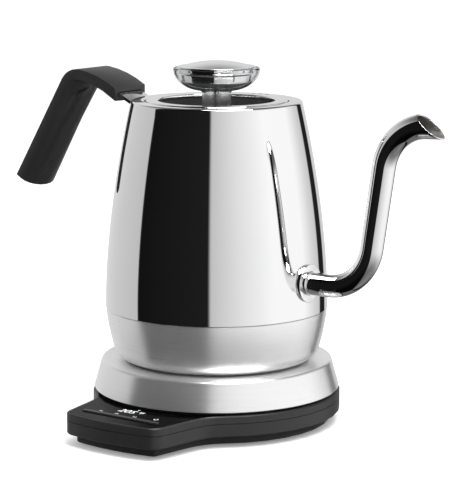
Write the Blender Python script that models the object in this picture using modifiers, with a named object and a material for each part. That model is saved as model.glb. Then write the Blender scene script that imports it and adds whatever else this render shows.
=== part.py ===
"""A gooseneck electric kettle on its heated control base.

Metres, +Z up. The origin is the centre of the base tray's flat underside, on the kettle's axis.
The spout points along +X, the handle along -X and the control panel along -Y.
"""
import math

import bmesh
import bpy
from mathutils import Matrix, Vector

# ---------------------------------------------------------------- driving dimensions
SEAT_GAP = 0.0003          # clearance between two pieces that touch
RUNNING_GAP = 0.0005       # clearance round pieces that lift or turn
ROUND_STEPS = 32           # facets of a large turned piece
SMALL_STEPS = 12           # facets of a screw, foot or post

# base housing
HOUSING_R = 0.0715
TRAY_FLOOR = 0.0020
TRAY_WALL = 0.0020
TRAY_SIDE_Z = 0.0051       # where the recessed skirt ends and the side wall starts
SKIRT_INSET = 0.0055
SPLIT_Z = 0.0126           # parting line between tray and cover
COVER_TOP_Z = 0.0171
COVER_PLATE = 0.0020
EDGE_ROUND = 0.0006

# control panel that juts out of the housing
PANEL_FRONT = 0.1035
PANEL_HALF_WIDTH = 0.0316
PANEL_SPLAY = math.radians(9.5)
PANEL_CORNER_R = 0.0085
PANEL_ARCH_R = 0.136
PANEL_BLEND_R = 0.025
PANEL_BORDER = 0.0015
GLASS_THICK = 0.0009
SLIDER_Y = -0.0897
SLIDER_LENGTH = 0.0530
SLIDER_WIDTH = 0.0026
SLIDER_PROUD = 0.0007
DISPLAY_SIZE = (0.024, 0.011)
DISPLAY_CENTRE = (-0.0015, -0.0775)

# steel ring that the kettle stands on
RING_BOTTOM_R = 0.0708
RING_TOP_R = 0.0668
RING_BOTTOM_Z = 0.0185
RING_TOP_Z = 0.0352
RING_SHOULDER_R = 0.0020
RING_WALL = 0.0012
COLLAR_WIDTH = 0.0055      # raised rim of the cover under the ring

# connector between base and kettle
CONNECTOR_R = 0.0240
CABLE_HOLE_R = 0.0180
CONNECTOR_FOOT_R = 0.0330
CONNECTOR_PROUD = 0.0113   # how far the connector stands above the ring
CONNECTOR_PIN_R = 0.0030
CONNECTOR_GROOVE_R = 0.0135
CONNECTOR_GROOVE_W = 0.0030
CONNECTOR_DEPTH = 0.0095
SOCKET_WALL = 0.0045
SOCKET_FLANGE = 0.0038

# kettle body
BAND_SEAM_Z = 0.0653
BAND_TOP_R = 0.0637
BAND_DRAW = 0.0043         # how far the band draws in above its bottom corner
BAND_CORNER_R = 0.0088
BAND_CORNER_Z = 0.0420
BAND_WALL = 0.0012
BAND_LIP_R = 0.0490
BAND_LIP_THICK = 0.0024
BAND_LEDGE = 0.0055
SHELL_SEAM_R = 0.0640
SHELL_RIM_R = 0.0487
SHELL_CURVE = 1.78         # power of the wall's curve from seam to rim
SHELL_WALL = 0.0010
RIM_Z = 0.1838
RIM_ROUND = 0.0016
MOUTH_R = 0.0414
NECK_R = 0.0385
NECK_STEP_Z = 0.1803
NECK_BOTTOM_Z = 0.1700
VENT_R = 0.0434
VENT_SIZE = (0.0024, 0.0014)
VENT_PITCH = 0.0050

# parts under the vessel floor
PLATE_THICK = 0.0015
ELEMENT_RING_R = 0.0380
ELEMENT_R = 0.0032
ELEMENT_GAP_ANGLE = math.radians(50)
ELEMENT_LEG = 0.0080
PROBE_R = 0.0032
PROBE_XY = (0.0, 0.022)
PROBE_HEIGHT = 0.0065
UNDER_COVER_THICK = 0.0020
POST_R = 0.0032
POST_ANGLES = (30, 150, 270)
SCREW_R = 0.0014
SCREW_HEAD_R = 0.0028
SCREW_HEAD_H = 0.0014

# spout
SPOUT_Z = 0.0850
SPOUT_REACH = 0.1012       # where the riser's line meets the root's line
SPOUT_RISE = 0.0920        # height between the spout's two bends' corners
SPOUT_LEAN = math.radians(8.8)
SPOUT_TIP_TILT = math.radians(3.0)
SPOUT_BEND_R = 0.0280
SPOUT_ROOT_R = 0.0064
SPOUT_TIP_R = 0.0070
SPOUT_WALL = 0.0008
SPOUT_MOUTH_X = 0.1405
SPOUT_MOUTH_TILT = math.radians(40)
COLLAR_R = 0.0109
COLLAR_THICK = 0.0015

# handle
HANDLE_END = (-0.0627, 0.1880)
HANDLE_RISE = math.radians(32)
HANDLE_HALF_WIDTH = 0.01425
PLATE_DEPTH = 0.0065
PLATE_ARC_R = 0.066
PLATE_ARC = math.radians(25)
KNEE_R = 0.0135
KNEE_ARC = math.radians(65.5)
GRIP_LENGTH = 0.0700
GRIP_SIDE = 0.0045
GRIP_DEPTH = 0.0130
STRAP_HALF_WIDTH = 0.0105
STRAP_THICK = 0.0018
STRAP_SLOPE = math.radians(27)
STRAP_TANG = 0.0150
STRAP_BEND_R = 0.0040
STRAP_FOOT = 0.0100

# lid and knob
LID_RING_THICK = 0.0019
LID_PROUD = 0.0003
WELL_R = 0.0333
WELL_FLOOR_Z = 0.1726
LID_WALL = 0.0016
SEAL_THICK = 0.0016
KNOB_R = 0.0246
KNOB_TOP_Z = 0.2023
KNOB_WALL = 0.0012
KNOB_BOWL_DEPTH = 0.0120
STEM_R = 0.0082
KNOB_BAND_R = 0.0212
KNOB_CAP_R = 0.0223
KNOB_DOME_H = 0.0032

# feet, fasteners and electrics of the base
FOOT_R = 0.0060
FOOT_HEIGHT = 0.0015
FOOT_PLACES = ((-0.020, -0.0745), (0.020, -0.0745), (-0.043, 0.038), (0.043, 0.038), (0.0, -0.030))
HOUSING_SCREWS = ((-0.0262, -0.0620), (0.0262, -0.0620), (-0.029, 0.052), (0.029, 0.052))
BOSS_R = 0.0036
HEAD_RECESS = 0.0013       # depth of the pocket that holds a housing screw's head
INLET_R = 0.0043
INLET_FLANGE = 0.0013
INLET_BORE_R = 0.0033
INLET_Z = 0.0102
BOARD_THICK = 0.0016
POWER_BOARD_SIZE = (0.056, 0.040)
RELAY_SIZE = (0.019, 0.015, 0.007)
CAPACITOR_R = 0.006
DISPLAY_BOARD_SIZE = (0.040, 0.030)
CONTROL_SIZE = (0.034, 0.024, 0.011)
FLANGE_THICK = 0.0015
STEP_HEIGHT = 0.003
CUT_PAST = 0.01

# ---------------------------------------------------------------- sizes that follow
KETTLE_BOTTOM_Z = RING_TOP_Z + SEAT_GAP
POST_RING_R = ELEMENT_RING_R + ELEMENT_R + RUNNING_GAP + POST_R
LIP_TOP_Z = KETTLE_BOTTOM_Z + BAND_LIP_THICK
UNDER_COVER_Z = LIP_TOP_Z + SEAT_GAP
UNDER_COVER_TOP_Z = UNDER_COVER_Z + UNDER_COVER_THICK
SHELL_BOTTOM_Z = BAND_SEAM_Z + SEAT_GAP
PLATE_TOP_Z = SHELL_BOTTOM_Z + PLATE_THICK
PLATE_UNDER_Z = BAND_SEAM_Z
CONNECTOR_TOP_Z = RING_TOP_Z + CONNECTOR_PROUD
SOCKET_CEILING_Z = CONNECTOR_TOP_Z + SEAT_GAP
SOCKET_R = CONNECTOR_R + RUNNING_GAP
SOCKET_OUTER_R = SOCKET_R + SOCKET_WALL
SOCKET_FLANGE_Z = UNDER_COVER_TOP_Z + SEAT_GAP
SOCKET_FLANGE_R = SOCKET_OUTER_R + SOCKET_FLANGE
GLASS_TOP_Z = COVER_TOP_Z
POCKET_Z = GLASS_TOP_Z - GLASS_THICK - SEAT_GAP
PLATE_BOTTOM_Z = COVER_TOP_Z - COVER_PLATE
COVER_COLLAR_R = RING_BOTTOM_R - RING_WALL - 2 * SEAT_GAP - 0.001
COVER_COLLAR_Z = RING_BOTTOM_Z - SEAT_GAP
LID_TOP_Z = RIM_Z + LID_PROUD
LID_RING_R = MOUTH_R - SEAT_GAP

PARTS = None
CUTTERS = None


# ---------------------------------------------------------------- scene and materials
def clear_scene():
    """Remove the start-up objects and make the two collections."""
    global PARTS, CUTTERS
    for old in list(bpy.data.objects):
        bpy.data.objects.remove(old, do_unlink=True)
    PARTS = bpy.data.collections.new("gooseneck_kettle")
    CUTTERS = bpy.data.collections.new("cutters")
    for group in (PARTS, CUTTERS):
        bpy.context.scene.collection.children.link(group)


def finish(name, colour, roughness, metallic):
    """A Principled material in one colour."""
    made = bpy.data.materials.new(name)
    made.use_nodes = True
    shader = made.node_tree.nodes["Principled BSDF"]
    shader.inputs["Base Color"].default_value = (*colour, 1.0)
    shader.inputs["Roughness"].default_value = roughness
    shader.inputs["Metallic"].default_value = metallic
    made.diffuse_color = (*colour, 1.0)
    return made


def make_finishes():
    """All finishes of the kettle by name."""
    return {
        "polished": finish("polished_steel", (0.80, 0.80, 0.80), 0.06, 1.0),
        "brushed": finish("brushed_steel", (0.62, 0.62, 0.61), 0.32, 1.0),
        "handle": finish("handle_plastic", (0.045, 0.045, 0.047), 0.50, 0.0),
        "housing": finish("housing_plastic", (0.035, 0.035, 0.037), 0.42, 0.0),
        "panel": finish("panel_gloss", (0.006, 0.006, 0.007), 0.12, 0.0),
        "slider": finish("slider_grey", (0.10, 0.10, 0.10), 0.35, 0.0),
        "clear": finish("clear_plastic", (0.85, 0.87, 0.88), 0.05, 0.0),
        "well": finish("well_plastic", (0.06, 0.06, 0.06), 0.45, 0.0),
        "rubber": finish("rubber", (0.02, 0.02, 0.02), 0.80, 0.0),
        "silicone": finish("seal_silicone", (0.55, 0.55, 0.55), 0.60, 0.0),
        "brass": finish("contact_brass", (0.75, 0.58, 0.28), 0.30, 1.0),
        "zinc": finish("screw_zinc", (0.55, 0.56, 0.58), 0.35, 1.0),
        "board": finish("circuit_board", (0.03, 0.16, 0.08), 0.50, 0.0),
        "element": finish("element_steel", (0.36, 0.36, 0.37), 0.40, 1.0),
    }


# ---------------------------------------------------------------- modelling helpers
def put(name, data, look, group=None):
    """Link an object that holds the mesh or curve."""
    made = bpy.data.objects.new(name, data)
    if look is not None:
        data.materials.append(look)
    target = group or PARTS
    target.objects.link(made)
    if target is CUTTERS:
        made.hide_render = True
        made.display_type = "WIRE"
    return made


def mesh_from(bm, name):
    """A smooth-shaded mesh from a bmesh."""
    mesh = bpy.data.meshes.new(name)
    bm.to_mesh(mesh)
    bm.free()
    mesh.shade_smooth()
    mesh.set_sharp_from_angle(angle=math.radians(35))
    return mesh


def turned(name, profile, look, steps=ROUND_STEPS, group=None, at=(0, 0, 0), turn=(0, 0, 0)):
    """Turn a profile of (radius, height) points about Z.

    The profile runs from the top, down its outer side and back up its inner side. It is a closed
    loop, or starts and ends on the axis.
    """
    mesh = bpy.data.meshes.new(name)
    on_axis = profile[0][0] == 0
    count = len(profile)
    edges = [(i, i + 1) for i in range(count - 1)]
    if not on_axis:
        edges.append((count - 1, 0))
    mesh.from_pydata([(r, 0, z) for r, z in profile], edges, [])
    made = put(name, mesh, look, group)
    made.location = at
    made.rotation_euler = turn
    screw = made.modifiers.new("turn", "SCREW")
    screw.axis = "Z"
    screw.angle = 2 * math.pi
    screw.steps = steps
    screw.render_steps = steps
    screw.use_merge_vertices = True
    screw.merge_threshold = 0.00001
    screw.use_smooth_shade = True
    return made


def rod_profile(radius, top, bottom):
    """Profile of a solid rod."""
    return [(0, top), (radius, top), (radius, bottom), (0, bottom)]


def tube_profile(inner, outer, top, bottom):
    """Profile of a plain ring or tube."""
    return [(inner, top), (outer, top), (outer, bottom), (inner, bottom)]


def block(name, size, centre, look, round_edge=0.0, group=None):
    """A box at a centre, with rounded edges if asked."""
    bm = bmesh.new()
    bmesh.ops.create_cube(bm, size=1.0)
    bmesh.ops.scale(bm, vec=size, verts=bm.verts)
    bmesh.ops.translate(bm, vec=centre, verts=bm.verts)
    made = put(name, mesh_from(bm, name), look, group)
    if round_edge:
        bevel = made.modifiers.new("edges", "BEVEL")
        bevel.width = round_edge
        bevel.segments = 2
    return made


def cut(piece, tool, operation="DIFFERENCE"):
    """Cut one object with another, or join them with UNION."""
    boolean = piece.modifiers.new(tool.name, "BOOLEAN")
    boolean.operation = operation
    boolean.solver = "EXACT"
    boolean.object = tool


def mesh_of_curve(curve_object):
    """Replace a curve object by a mesh object with its caps welded."""
    bpy.context.view_layer.update()
    graph = bpy.context.evaluated_depsgraph_get()
    mesh = bpy.data.meshes.new_from_object(curve_object.evaluated_get(graph))
    bm = bmesh.new()
    bm.from_mesh(mesh)
    bmesh.ops.remove_doubles(bm, verts=bm.verts, dist=0.000005)
    bmesh.ops.recalc_face_normals(bm, faces=bm.faces)
    bm.to_mesh(mesh)
    bm.free()
    name = curve_object.name
    group = curve_object.users_collection[0]
    place = curve_object.matrix_world.copy()
    bpy.data.objects.remove(curve_object, do_unlink=True)
    made = put(name, mesh, None, group)
    made.matrix_world = place
    return made


def flat_outline(name, points, thickness, look, place, group=None):
    """A flat outline of (x, y) points, thickened evenly about its plane, as a mesh object."""
    curve = bpy.data.curves.new(name, "CURVE")
    curve.dimensions = "2D"
    curve.fill_mode = "BOTH"
    curve.extrude = thickness / 2
    spline = curve.splines.new("POLY")
    spline.points.add(len(points) - 1)
    for point, (x, y) in zip(spline.points, points):
        point.co = (x, y, 0, 1)
    spline.use_cyclic_u = True
    made = put(name, curve, look, group)
    made.matrix_world = place
    return mesh_of_curve(made)


def bent_tube(name, points, radii, look, group=None, resolution=5):
    """A round bar along (x, z) points in the plane y = 0, as a mesh object."""
    curve = bpy.data.curves.new(name, "CURVE")
    curve.dimensions = "3D"
    curve.bevel_depth = 1.0
    curve.bevel_resolution = resolution
    curve.use_fill_caps = True
    spline = curve.splines.new("POLY")
    spline.points.add(len(points) - 1)
    for point, (x, z), radius in zip(spline.points, points, radii):
        point.co = (x, 0, z, 1)
        point.radius = radius
    return mesh_of_curve(put(name, curve, look, group))


def arc(centre, radius, start, end, count):
    """Points on an arc, both ends included."""
    step = (end - start) / count
    turns = [start + step * i for i in range(count + 1)]
    return [(centre[0] + radius * math.cos(t), centre[1] + radius * math.sin(t)) for t in turns]


def trace(start, heading, moves):
    """Walk through ("line", length) and ("arc", radius, angle, count) moves.

    Returns a list of (x, z, heading) along the walk.
    """
    x, z = start
    walk = [(x, z, heading)]
    for move in moves:
        if move[0] == "line":
            x += move[1] * math.cos(heading)
            z += move[1] * math.sin(heading)
            walk.append((x, z, heading))
            continue
        _, radius, angle, count = move
        side = math.copysign(1, angle)
        for _ in range(count):
            turn = angle / count
            chord = 2 * radius * math.sin(abs(turn) / 2)
            x += chord * math.cos(heading + turn / 2)
            z += chord * math.sin(heading + turn / 2)
            heading += side * abs(turn)
            walk.append((x, z, heading))
    return walk


# ---------------------------------------------------------------- base housing
def along_side(distance, reach, centre=(0.0, 0.0)):
    """The forward point at a distance from the panel's side direction and a reach from centre."""
    normal = Vector((math.cos(PANEL_SPLAY), -math.sin(PANEL_SPLAY)))
    side = Vector((math.sin(PANEL_SPLAY), math.cos(PANEL_SPLAY)))
    offset = normal * distance - Vector(centre)
    half = offset.dot(side)
    root = math.sqrt(half * half - offset.length_squared + reach * reach)
    return normal * distance + side * (-half - root)


def housing_half(inset):
    """Right half of the housing's outline, front to back, and the index where the circle starts."""
    side = PANEL_HALF_WIDTH * math.cos(PANEL_SPLAY) + PANEL_FRONT * math.sin(PANEL_SPLAY)
    arch_centre = (0.0, PANEL_ARCH_R - PANEL_FRONT)
    corner = along_side(side - PANEL_CORNER_R, PANEL_ARCH_R - PANEL_CORNER_R, arch_centre)
    blend = along_side(side + PANEL_BLEND_R, HOUSING_R + PANEL_BLEND_R)
    to_corner = math.atan2(corner.y - arch_centre[1], corner.x)
    to_blend = math.atan2(blend.y, blend.x)
    front = arc(arch_centre, PANEL_ARCH_R - inset, -math.pi / 2, to_corner, 3)
    front += arc(corner, PANEL_CORNER_R - inset, to_corner, -PANEL_SPLAY, 4)[1:]
    front += arc(blend, PANEL_BLEND_R + inset, math.pi - PANEL_SPLAY, math.pi + to_blend, 4)
    back = arc((0, 0), HOUSING_R - inset, to_blend, math.pi / 2, 13)[1:]
    return front, back


def mirrored(half):
    """Close a right half that starts and ends on x = 0."""
    return half + [(-x, y) for x, y in reversed(half[1:-1])]


def housing_ring(inset):
    """The whole outline of the housing, inset by a distance."""
    front, back = housing_half(inset)
    return mirrored(front + back)


def round_ring(radius):
    """A circle with its points in the same directions as the outline's."""
    points = housing_ring(0.0)
    return [(x * radius / math.hypot(x, y), y * radius / math.hypot(x, y)) for x, y in points]


def panel_region(inset, back_radius):
    """Outline of the panel in front of the ring."""
    front, _ = housing_half(inset)
    left = [(-x, y) for x, y in reversed(front[1:])]
    last = math.atan2(front[-1][1], front[-1][0])
    behind = arc((0, 0), back_radius, last, -math.pi - last, 10)
    return front + behind + left


def stacked(name, layers, look, hollow):
    """Skin a pile of rings, each a pair of points and height.

    A hollow pile joins its last ring to its first; any other is capped at both ends.
    """
    bm = bmesh.new()
    rings = [[bm.verts.new((x, y, z)) for x, y in points] for points, z in layers]
    pairs = list(zip(rings, rings[1:]))
    if hollow:
        pairs.append((rings[-1], rings[0]))
    else:
        bm.faces.new(rings[0])
        bm.faces.new(rings[-1])
    for lower, upper in pairs:
        for i in range(len(lower)):
            bm.faces.new((lower[i - 1], lower[i], upper[i], upper[i - 1]))
    bmesh.ops.recalc_face_normals(bm, faces=bm.faces)
    return put(name, mesh_from(bm, name), look)


def make_tray(looks):
    """Lower half of the housing: recessed skirt, side wall and floor."""
    lower = SKIRT_INSET + EDGE_ROUND
    layers = [
        (housing_ring(lower), 0.0),
        (housing_ring(SKIRT_INSET), EDGE_ROUND),
        (housing_ring(SKIRT_INSET), TRAY_SIDE_Z - EDGE_ROUND),
        (housing_ring(EDGE_ROUND), TRAY_SIDE_Z),
        (housing_ring(0.0), TRAY_SIDE_Z + EDGE_ROUND),
        (housing_ring(0.0), SPLIT_Z - SEAT_GAP / 2),
        (housing_ring(TRAY_WALL), SPLIT_Z - SEAT_GAP / 2),
        (housing_ring(TRAY_WALL), TRAY_SIDE_Z + TRAY_WALL),
        (housing_ring(lower + TRAY_WALL / 2), TRAY_SIDE_Z + TRAY_WALL / 2),
        (housing_ring(lower + TRAY_WALL / 2), TRAY_FLOOR),
    ]
    tray = stacked("base_tray", layers, looks["housing"], hollow=False)
    for number, (x, y) in enumerate(HOUSING_SCREWS, 1):
        bore = SCREW_R + SEAT_GAP
        wide = SCREW_HEAD_R + SEAT_GAP
        seat = HEAD_RECESS + SEAT_GAP
        top = TRAY_FLOOR * 2
        profile = [(0, top), (bore, top), (bore, seat), (wide, seat), (wide, -TRAY_FLOOR), (0, -TRAY_FLOOR)]
        cut(tray, turned(f"tray_hole_{number}", profile, None, SMALL_STEPS, CUTTERS, (x, y, 0)))
    return tray


def make_cover(looks):
    """Upper half of the housing, with the collar that carries the steel ring and a panel pocket."""
    wall = TRAY_WALL + SEAT_GAP
    layers = [
        (housing_ring(0.0), SPLIT_Z + SEAT_GAP / 2),
        (housing_ring(0.0), COVER_TOP_Z - EDGE_ROUND),
        (housing_ring(EDGE_ROUND), COVER_TOP_Z),
        (round_ring(COVER_COLLAR_R), COVER_TOP_Z),
        (round_ring(COVER_COLLAR_R), COVER_COLLAR_Z),
        (round_ring(COVER_COLLAR_R - COLLAR_WIDTH), COVER_COLLAR_Z),
        (round_ring(COVER_COLLAR_R - COLLAR_WIDTH), COVER_TOP_Z),
        (round_ring(CABLE_HOLE_R), COVER_TOP_Z),
        (round_ring(CABLE_HOLE_R), PLATE_BOTTOM_Z),
        (housing_ring(wall), PLATE_BOTTOM_Z),
        (housing_ring(wall), SPLIT_Z + SEAT_GAP / 2),
    ]
    cover = stacked("base_cover", layers, looks["housing"], hollow=True)
    pocket = panel_region(PANEL_BORDER, COVER_COLLAR_R + RUNNING_GAP)
    height = 2 * (COVER_TOP_Z - POCKET_Z)
    place = Matrix.Translation((0, 0, COVER_TOP_Z))
    cut(cover, flat_outline("panel_pocket", pocket, height, None, place, CUTTERS))
    window = (DISPLAY_SIZE[0] + 2 * SEAT_GAP, DISPLAY_SIZE[1] + 2 * SEAT_GAP, COVER_PLATE * 3)
    cut(cover, block("display_window", window, (*DISPLAY_CENTRE, COVER_TOP_Z), None, 0, CUTTERS))
    for number, (x, y) in enumerate(HOUSING_SCREWS, 1):
        top = PLATE_BOTTOM_Z + COVER_PLATE / 4
        bottom = TRAY_FLOOR + SEAT_GAP
        bore = SCREW_R + SEAT_GAP
        solid = turned(f"boss_{number}", rod_profile(BOSS_R, top, bottom), None, SMALL_STEPS,
                       CUTTERS, (x, y, 0))
        hole = turned(f"boss_bore_{number}", rod_profile(bore, PLATE_BOTTOM_Z - 0.001, -0.001), None,
                      SMALL_STEPS, CUTTERS, (x, y, 0))
        cut(cover, solid, "UNION")
        cut(cover, hole)
    return cover


def make_inlet(looks, tray, cover):
    """Bushing in the rear wall where the mains lead would enter, half in tray and half in cover."""
    wall = HOUSING_R - TRAY_WALL
    outer = HOUSING_R + INLET_FLANGE
    inner = wall - INLET_FLANGE
    profile = [
        (INLET_BORE_R, outer),
        (INLET_R + INLET_FLANGE, outer),
        (INLET_R + INLET_FLANGE, HOUSING_R + SEAT_GAP),
        (INLET_R, HOUSING_R + SEAT_GAP),
        (INLET_R, inner),
        (INLET_BORE_R, inner),
    ]
    place = (0, 0, INLET_Z)
    turn = (-math.pi / 2, 0, 0)
    turned("cable_inlet", profile, looks["rubber"], SMALL_STEPS, None, place, turn)
    hole = rod_profile(INLET_R + SEAT_GAP, outer, inner - TRAY_WALL)
    tool = turned("inlet_hole", hole, None, SMALL_STEPS, CUTTERS, place, turn)
    cut(tray, tool)
    cut(cover, tool)


def make_panel(looks):
    """Gloss panel, touch slider, display and its board."""
    inset = PANEL_BORDER + SEAT_GAP
    shape = panel_region(inset, COVER_COLLAR_R + RUNNING_GAP + SEAT_GAP)
    middle = GLASS_TOP_Z - GLASS_THICK / 2
    glass = flat_outline("panel_glass", shape, GLASS_THICK, looks["panel"],
                         Matrix.Translation((0, 0, middle)))
    bottom = POCKET_Z + SEAT_GAP
    top = GLASS_TOP_Z + SLIDER_PROUD
    strip = Matrix.Translation((0, SLIDER_Y, (top + bottom) / 2))
    flat_outline("slider_strip", stadium(0), top - bottom, looks["slider"], strip)
    slot = flat_outline("slider_slot", stadium(SEAT_GAP), 0.006, None, strip, CUTTERS)
    cut(glass, slot)
    top = POCKET_Z
    bottom = SPLIT_Z - 0.0020
    size = (*DISPLAY_SIZE, top - bottom)
    block("display_module", size, (*DISPLAY_CENTRE, (top + bottom) / 2), looks["panel"])
    board_top = bottom - SEAT_GAP
    centre = (0, DISPLAY_CENTRE[1] - 0.004, board_top - BOARD_THICK / 2)
    block("control_board", DISPLAY_BOARD_SIZE + (BOARD_THICK,), centre, looks["board"])


def stadium(grow):
    """Outline of the touch slider, grown by a distance."""
    radius = SLIDER_WIDTH / 2 + grow
    reach = SLIDER_LENGTH / 2 - SLIDER_WIDTH / 2
    right = arc((reach, 0), radius, -math.pi / 2, math.pi / 2, 5)
    return right + [(-x, -y) for x, y in right]


def make_ring(looks):
    """Conical brushed ring with a flat top that the kettle stands on."""
    lean = math.atan2(RING_BOTTOM_R - RING_TOP_R, RING_TOP_Z - RING_BOTTOM_Z)
    shoulder = (RING_TOP_R - RING_SHOULDER_R, RING_TOP_Z - RING_SHOULDER_R)
    hole = CONNECTOR_R + RUNNING_GAP
    top = arc(shoulder, RING_SHOULDER_R, math.pi / 2, lean, 3)
    under = RING_TOP_Z - RING_WALL
    profile = [(hole, RING_TOP_Z)] + top + [
        (RING_BOTTOM_R, RING_BOTTOM_Z),
        (RING_BOTTOM_R - RING_WALL, RING_BOTTOM_Z),
        (RING_TOP_R - RING_WALL, under),
        (hole, under),
    ]
    turned("base_ring", profile, looks["brushed"])


def make_base_connector(looks):
    """Round power connector of the base: pin hole in the middle, contact groove round it."""
    foot = COVER_TOP_Z + SEAT_GAP
    edge = 0.0012
    outer = CONNECTOR_GROOVE_R + CONNECTOR_GROOVE_W / 2
    inner = CONNECTOR_GROOVE_R - CONNECTOR_GROOVE_W / 2
    floor = CONNECTOR_TOP_Z - CONNECTOR_DEPTH
    hole = CONNECTOR_PIN_R + RUNNING_GAP
    profile = [
        (0, floor),
        (hole, floor),
        (hole, CONNECTOR_TOP_Z),
        (inner, CONNECTOR_TOP_Z),
        (inner, floor),
        (outer, floor),
        (outer, CONNECTOR_TOP_Z),
        (CONNECTOR_R - edge, CONNECTOR_TOP_Z),
        (CONNECTOR_R, CONNECTOR_TOP_Z - edge),
        (CONNECTOR_R, foot + STEP_HEIGHT),
        (CONNECTOR_FOOT_R, foot + STEP_HEIGHT),
        (CONNECTOR_FOOT_R, foot),
        (0, foot),
    ]
    turned("base_connector", profile, looks["housing"])
    top = floor + STEP_HEIGHT
    ring = tube_profile(inner + SEAT_GAP, outer - SEAT_GAP, top, floor + SEAT_GAP)
    turned("base_contact_ring", ring, looks["brass"])


def make_base_fittings(looks):
    """Feet, housing screws and the power board."""
    for number, (x, y) in enumerate(FOOT_PLACES, 1):
        pad = rod_profile(FOOT_R, -SEAT_GAP, -FOOT_HEIGHT)
        turned(f"foot_{number}", pad, looks["rubber"], SMALL_STEPS, None, (x, y, 0))
    shank = SPLIT_Z - 0.001
    for number, (x, y) in enumerate(HOUSING_SCREWS, 1):
        profile = screw_profile(shank, HEAD_RECESS, HEAD_RECESS - SEAT_GAP)
        turned(f"housing_screw_{number}", profile, looks["zinc"], SMALL_STEPS, None, (x, y, 0))
    under = TRAY_FLOOR + SEAT_GAP
    board = (*POWER_BOARD_SIZE, BOARD_THICK)
    block("power_board", board, (0, 0.024, under + BOARD_THICK / 2), looks["board"])
    seat = under + BOARD_THICK + SEAT_GAP
    block("power_relay", RELAY_SIZE, (-0.012, 0.026, seat + RELAY_SIZE[2] / 2), looks["housing"],
          0.0006)
    coil = rod_profile(CAPACITOR_R, seat + RELAY_SIZE[2], seat)
    turned("power_capacitor", coil, looks["housing"], SMALL_STEPS, None, (0.014, 0.026, 0))


def screw_profile(tip, seat, head_height):
    """A pan-head screw that points up: its shank ends at tip and its head hangs below seat."""
    return [
        (0, tip),
        (SCREW_R, tip),
        (SCREW_R, seat),
        (SCREW_HEAD_R, seat),
        (SCREW_HEAD_R, seat - head_height),
        (0, seat - head_height),
    ]


# ---------------------------------------------------------------- kettle body
def shell_radius(z):
    """Outer radius of the polished wall at a height."""
    share = (z - SHELL_BOTTOM_Z) / (RIM_Z - SHELL_BOTTOM_Z)
    return SHELL_SEAM_R - (SHELL_SEAM_R - SHELL_RIM_R) * share ** SHELL_CURVE


def shell_slope(z):
    """Lean of the polished wall from the vertical at a height."""
    step = 0.001
    return math.atan2(shell_radius(z - step) - shell_radius(z + step), 2 * step)


def band_radius(z):
    """Outer radius of the brushed band above its bottom corner."""
    share = (BAND_SEAM_Z - z) / (BAND_SEAM_Z - BAND_CORNER_Z)
    return BAND_TOP_R - BAND_DRAW * share ** 1.5


def wall_heights(low, high, count):
    """Evenly spaced heights between two ends, without the ends, top first."""
    return [high + (low - high) * i / count for i in range(1, count)]


def make_shell(looks):
    """Polished vessel wall, drawn in at the rim and turned down into a stepped neck."""
    top = RIM_Z - RIM_ROUND
    rim_edge = shell_radius(top)
    levels = wall_heights(SHELL_BOTTOM_Z, top, 5)
    flange = RIM_Z - SHELL_WALL
    neck = NECK_R + SHELL_WALL
    mouth = MOUTH_R + SHELL_WALL
    profile = [(MOUTH_R, RIM_Z)]
    profile += arc((rim_edge - RIM_ROUND, top), RIM_ROUND, math.pi / 2, 0, 3)
    profile += [(shell_radius(z), z) for z in levels]
    profile += [(SHELL_SEAM_R, SHELL_BOTTOM_Z), (SHELL_SEAM_R - SHELL_WALL, SHELL_BOTTOM_Z)]
    profile += [(shell_radius(z) - SHELL_WALL, z) for z in reversed(levels)]
    profile += [
        (rim_edge - SHELL_WALL, flange - SHELL_WALL / 2),
        (rim_edge - 2 * SHELL_WALL, flange),
        (mouth, flange),
        (mouth, NECK_STEP_Z - SHELL_WALL),
        (neck, NECK_STEP_Z - SHELL_WALL),
        (neck, NECK_BOTTOM_Z),
        (NECK_R, NECK_BOTTOM_Z),
        (NECK_R, NECK_STEP_Z),
        (MOUTH_R, NECK_STEP_Z),
    ]
    shell = turned("vessel_shell", profile, looks["polished"])
    for side in (-1, 1):
        for place in (-1, 0, 1):
            y = side * math.sqrt(VENT_R ** 2 - (place * VENT_PITCH) ** 2)
            size = (*VENT_SIZE, SHELL_WALL * 4)
            name = f"vent_{'front' if side < 0 else 'back'}_{place + 2}"
            tool = block(name, size, (place * VENT_PITCH, y, RIM_Z), None, 0, CUTTERS)
            cut(shell, tool)
    hole = rod_profile(SPOUT_ROOT_R + SEAT_GAP, SHELL_SEAM_R + CUT_PAST, SHELL_SEAM_R - 2 * CUT_PAST)
    tool = turned("spout_hole", hole, None, 24, CUTTERS, (0, 0, SPOUT_Z), (0, math.pi / 2, 0))
    cut(shell, tool)


def wall_solid(name, grow):
    """Cutter with the vessel's outer shape, grown by a clearance."""
    levels = [RIM_Z + 2 * CUT_PAST] + wall_heights(SHELL_BOTTOM_Z, RIM_Z, 6) + [SHELL_BOTTOM_Z]
    side = [(shell_radius(min(z, RIM_Z)) + grow, z) for z in levels]
    profile = [(0, levels[0])] + side + [(0, levels[-1])]
    return turned(name, profile, None, ROUND_STEPS, CUTTERS)


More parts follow.
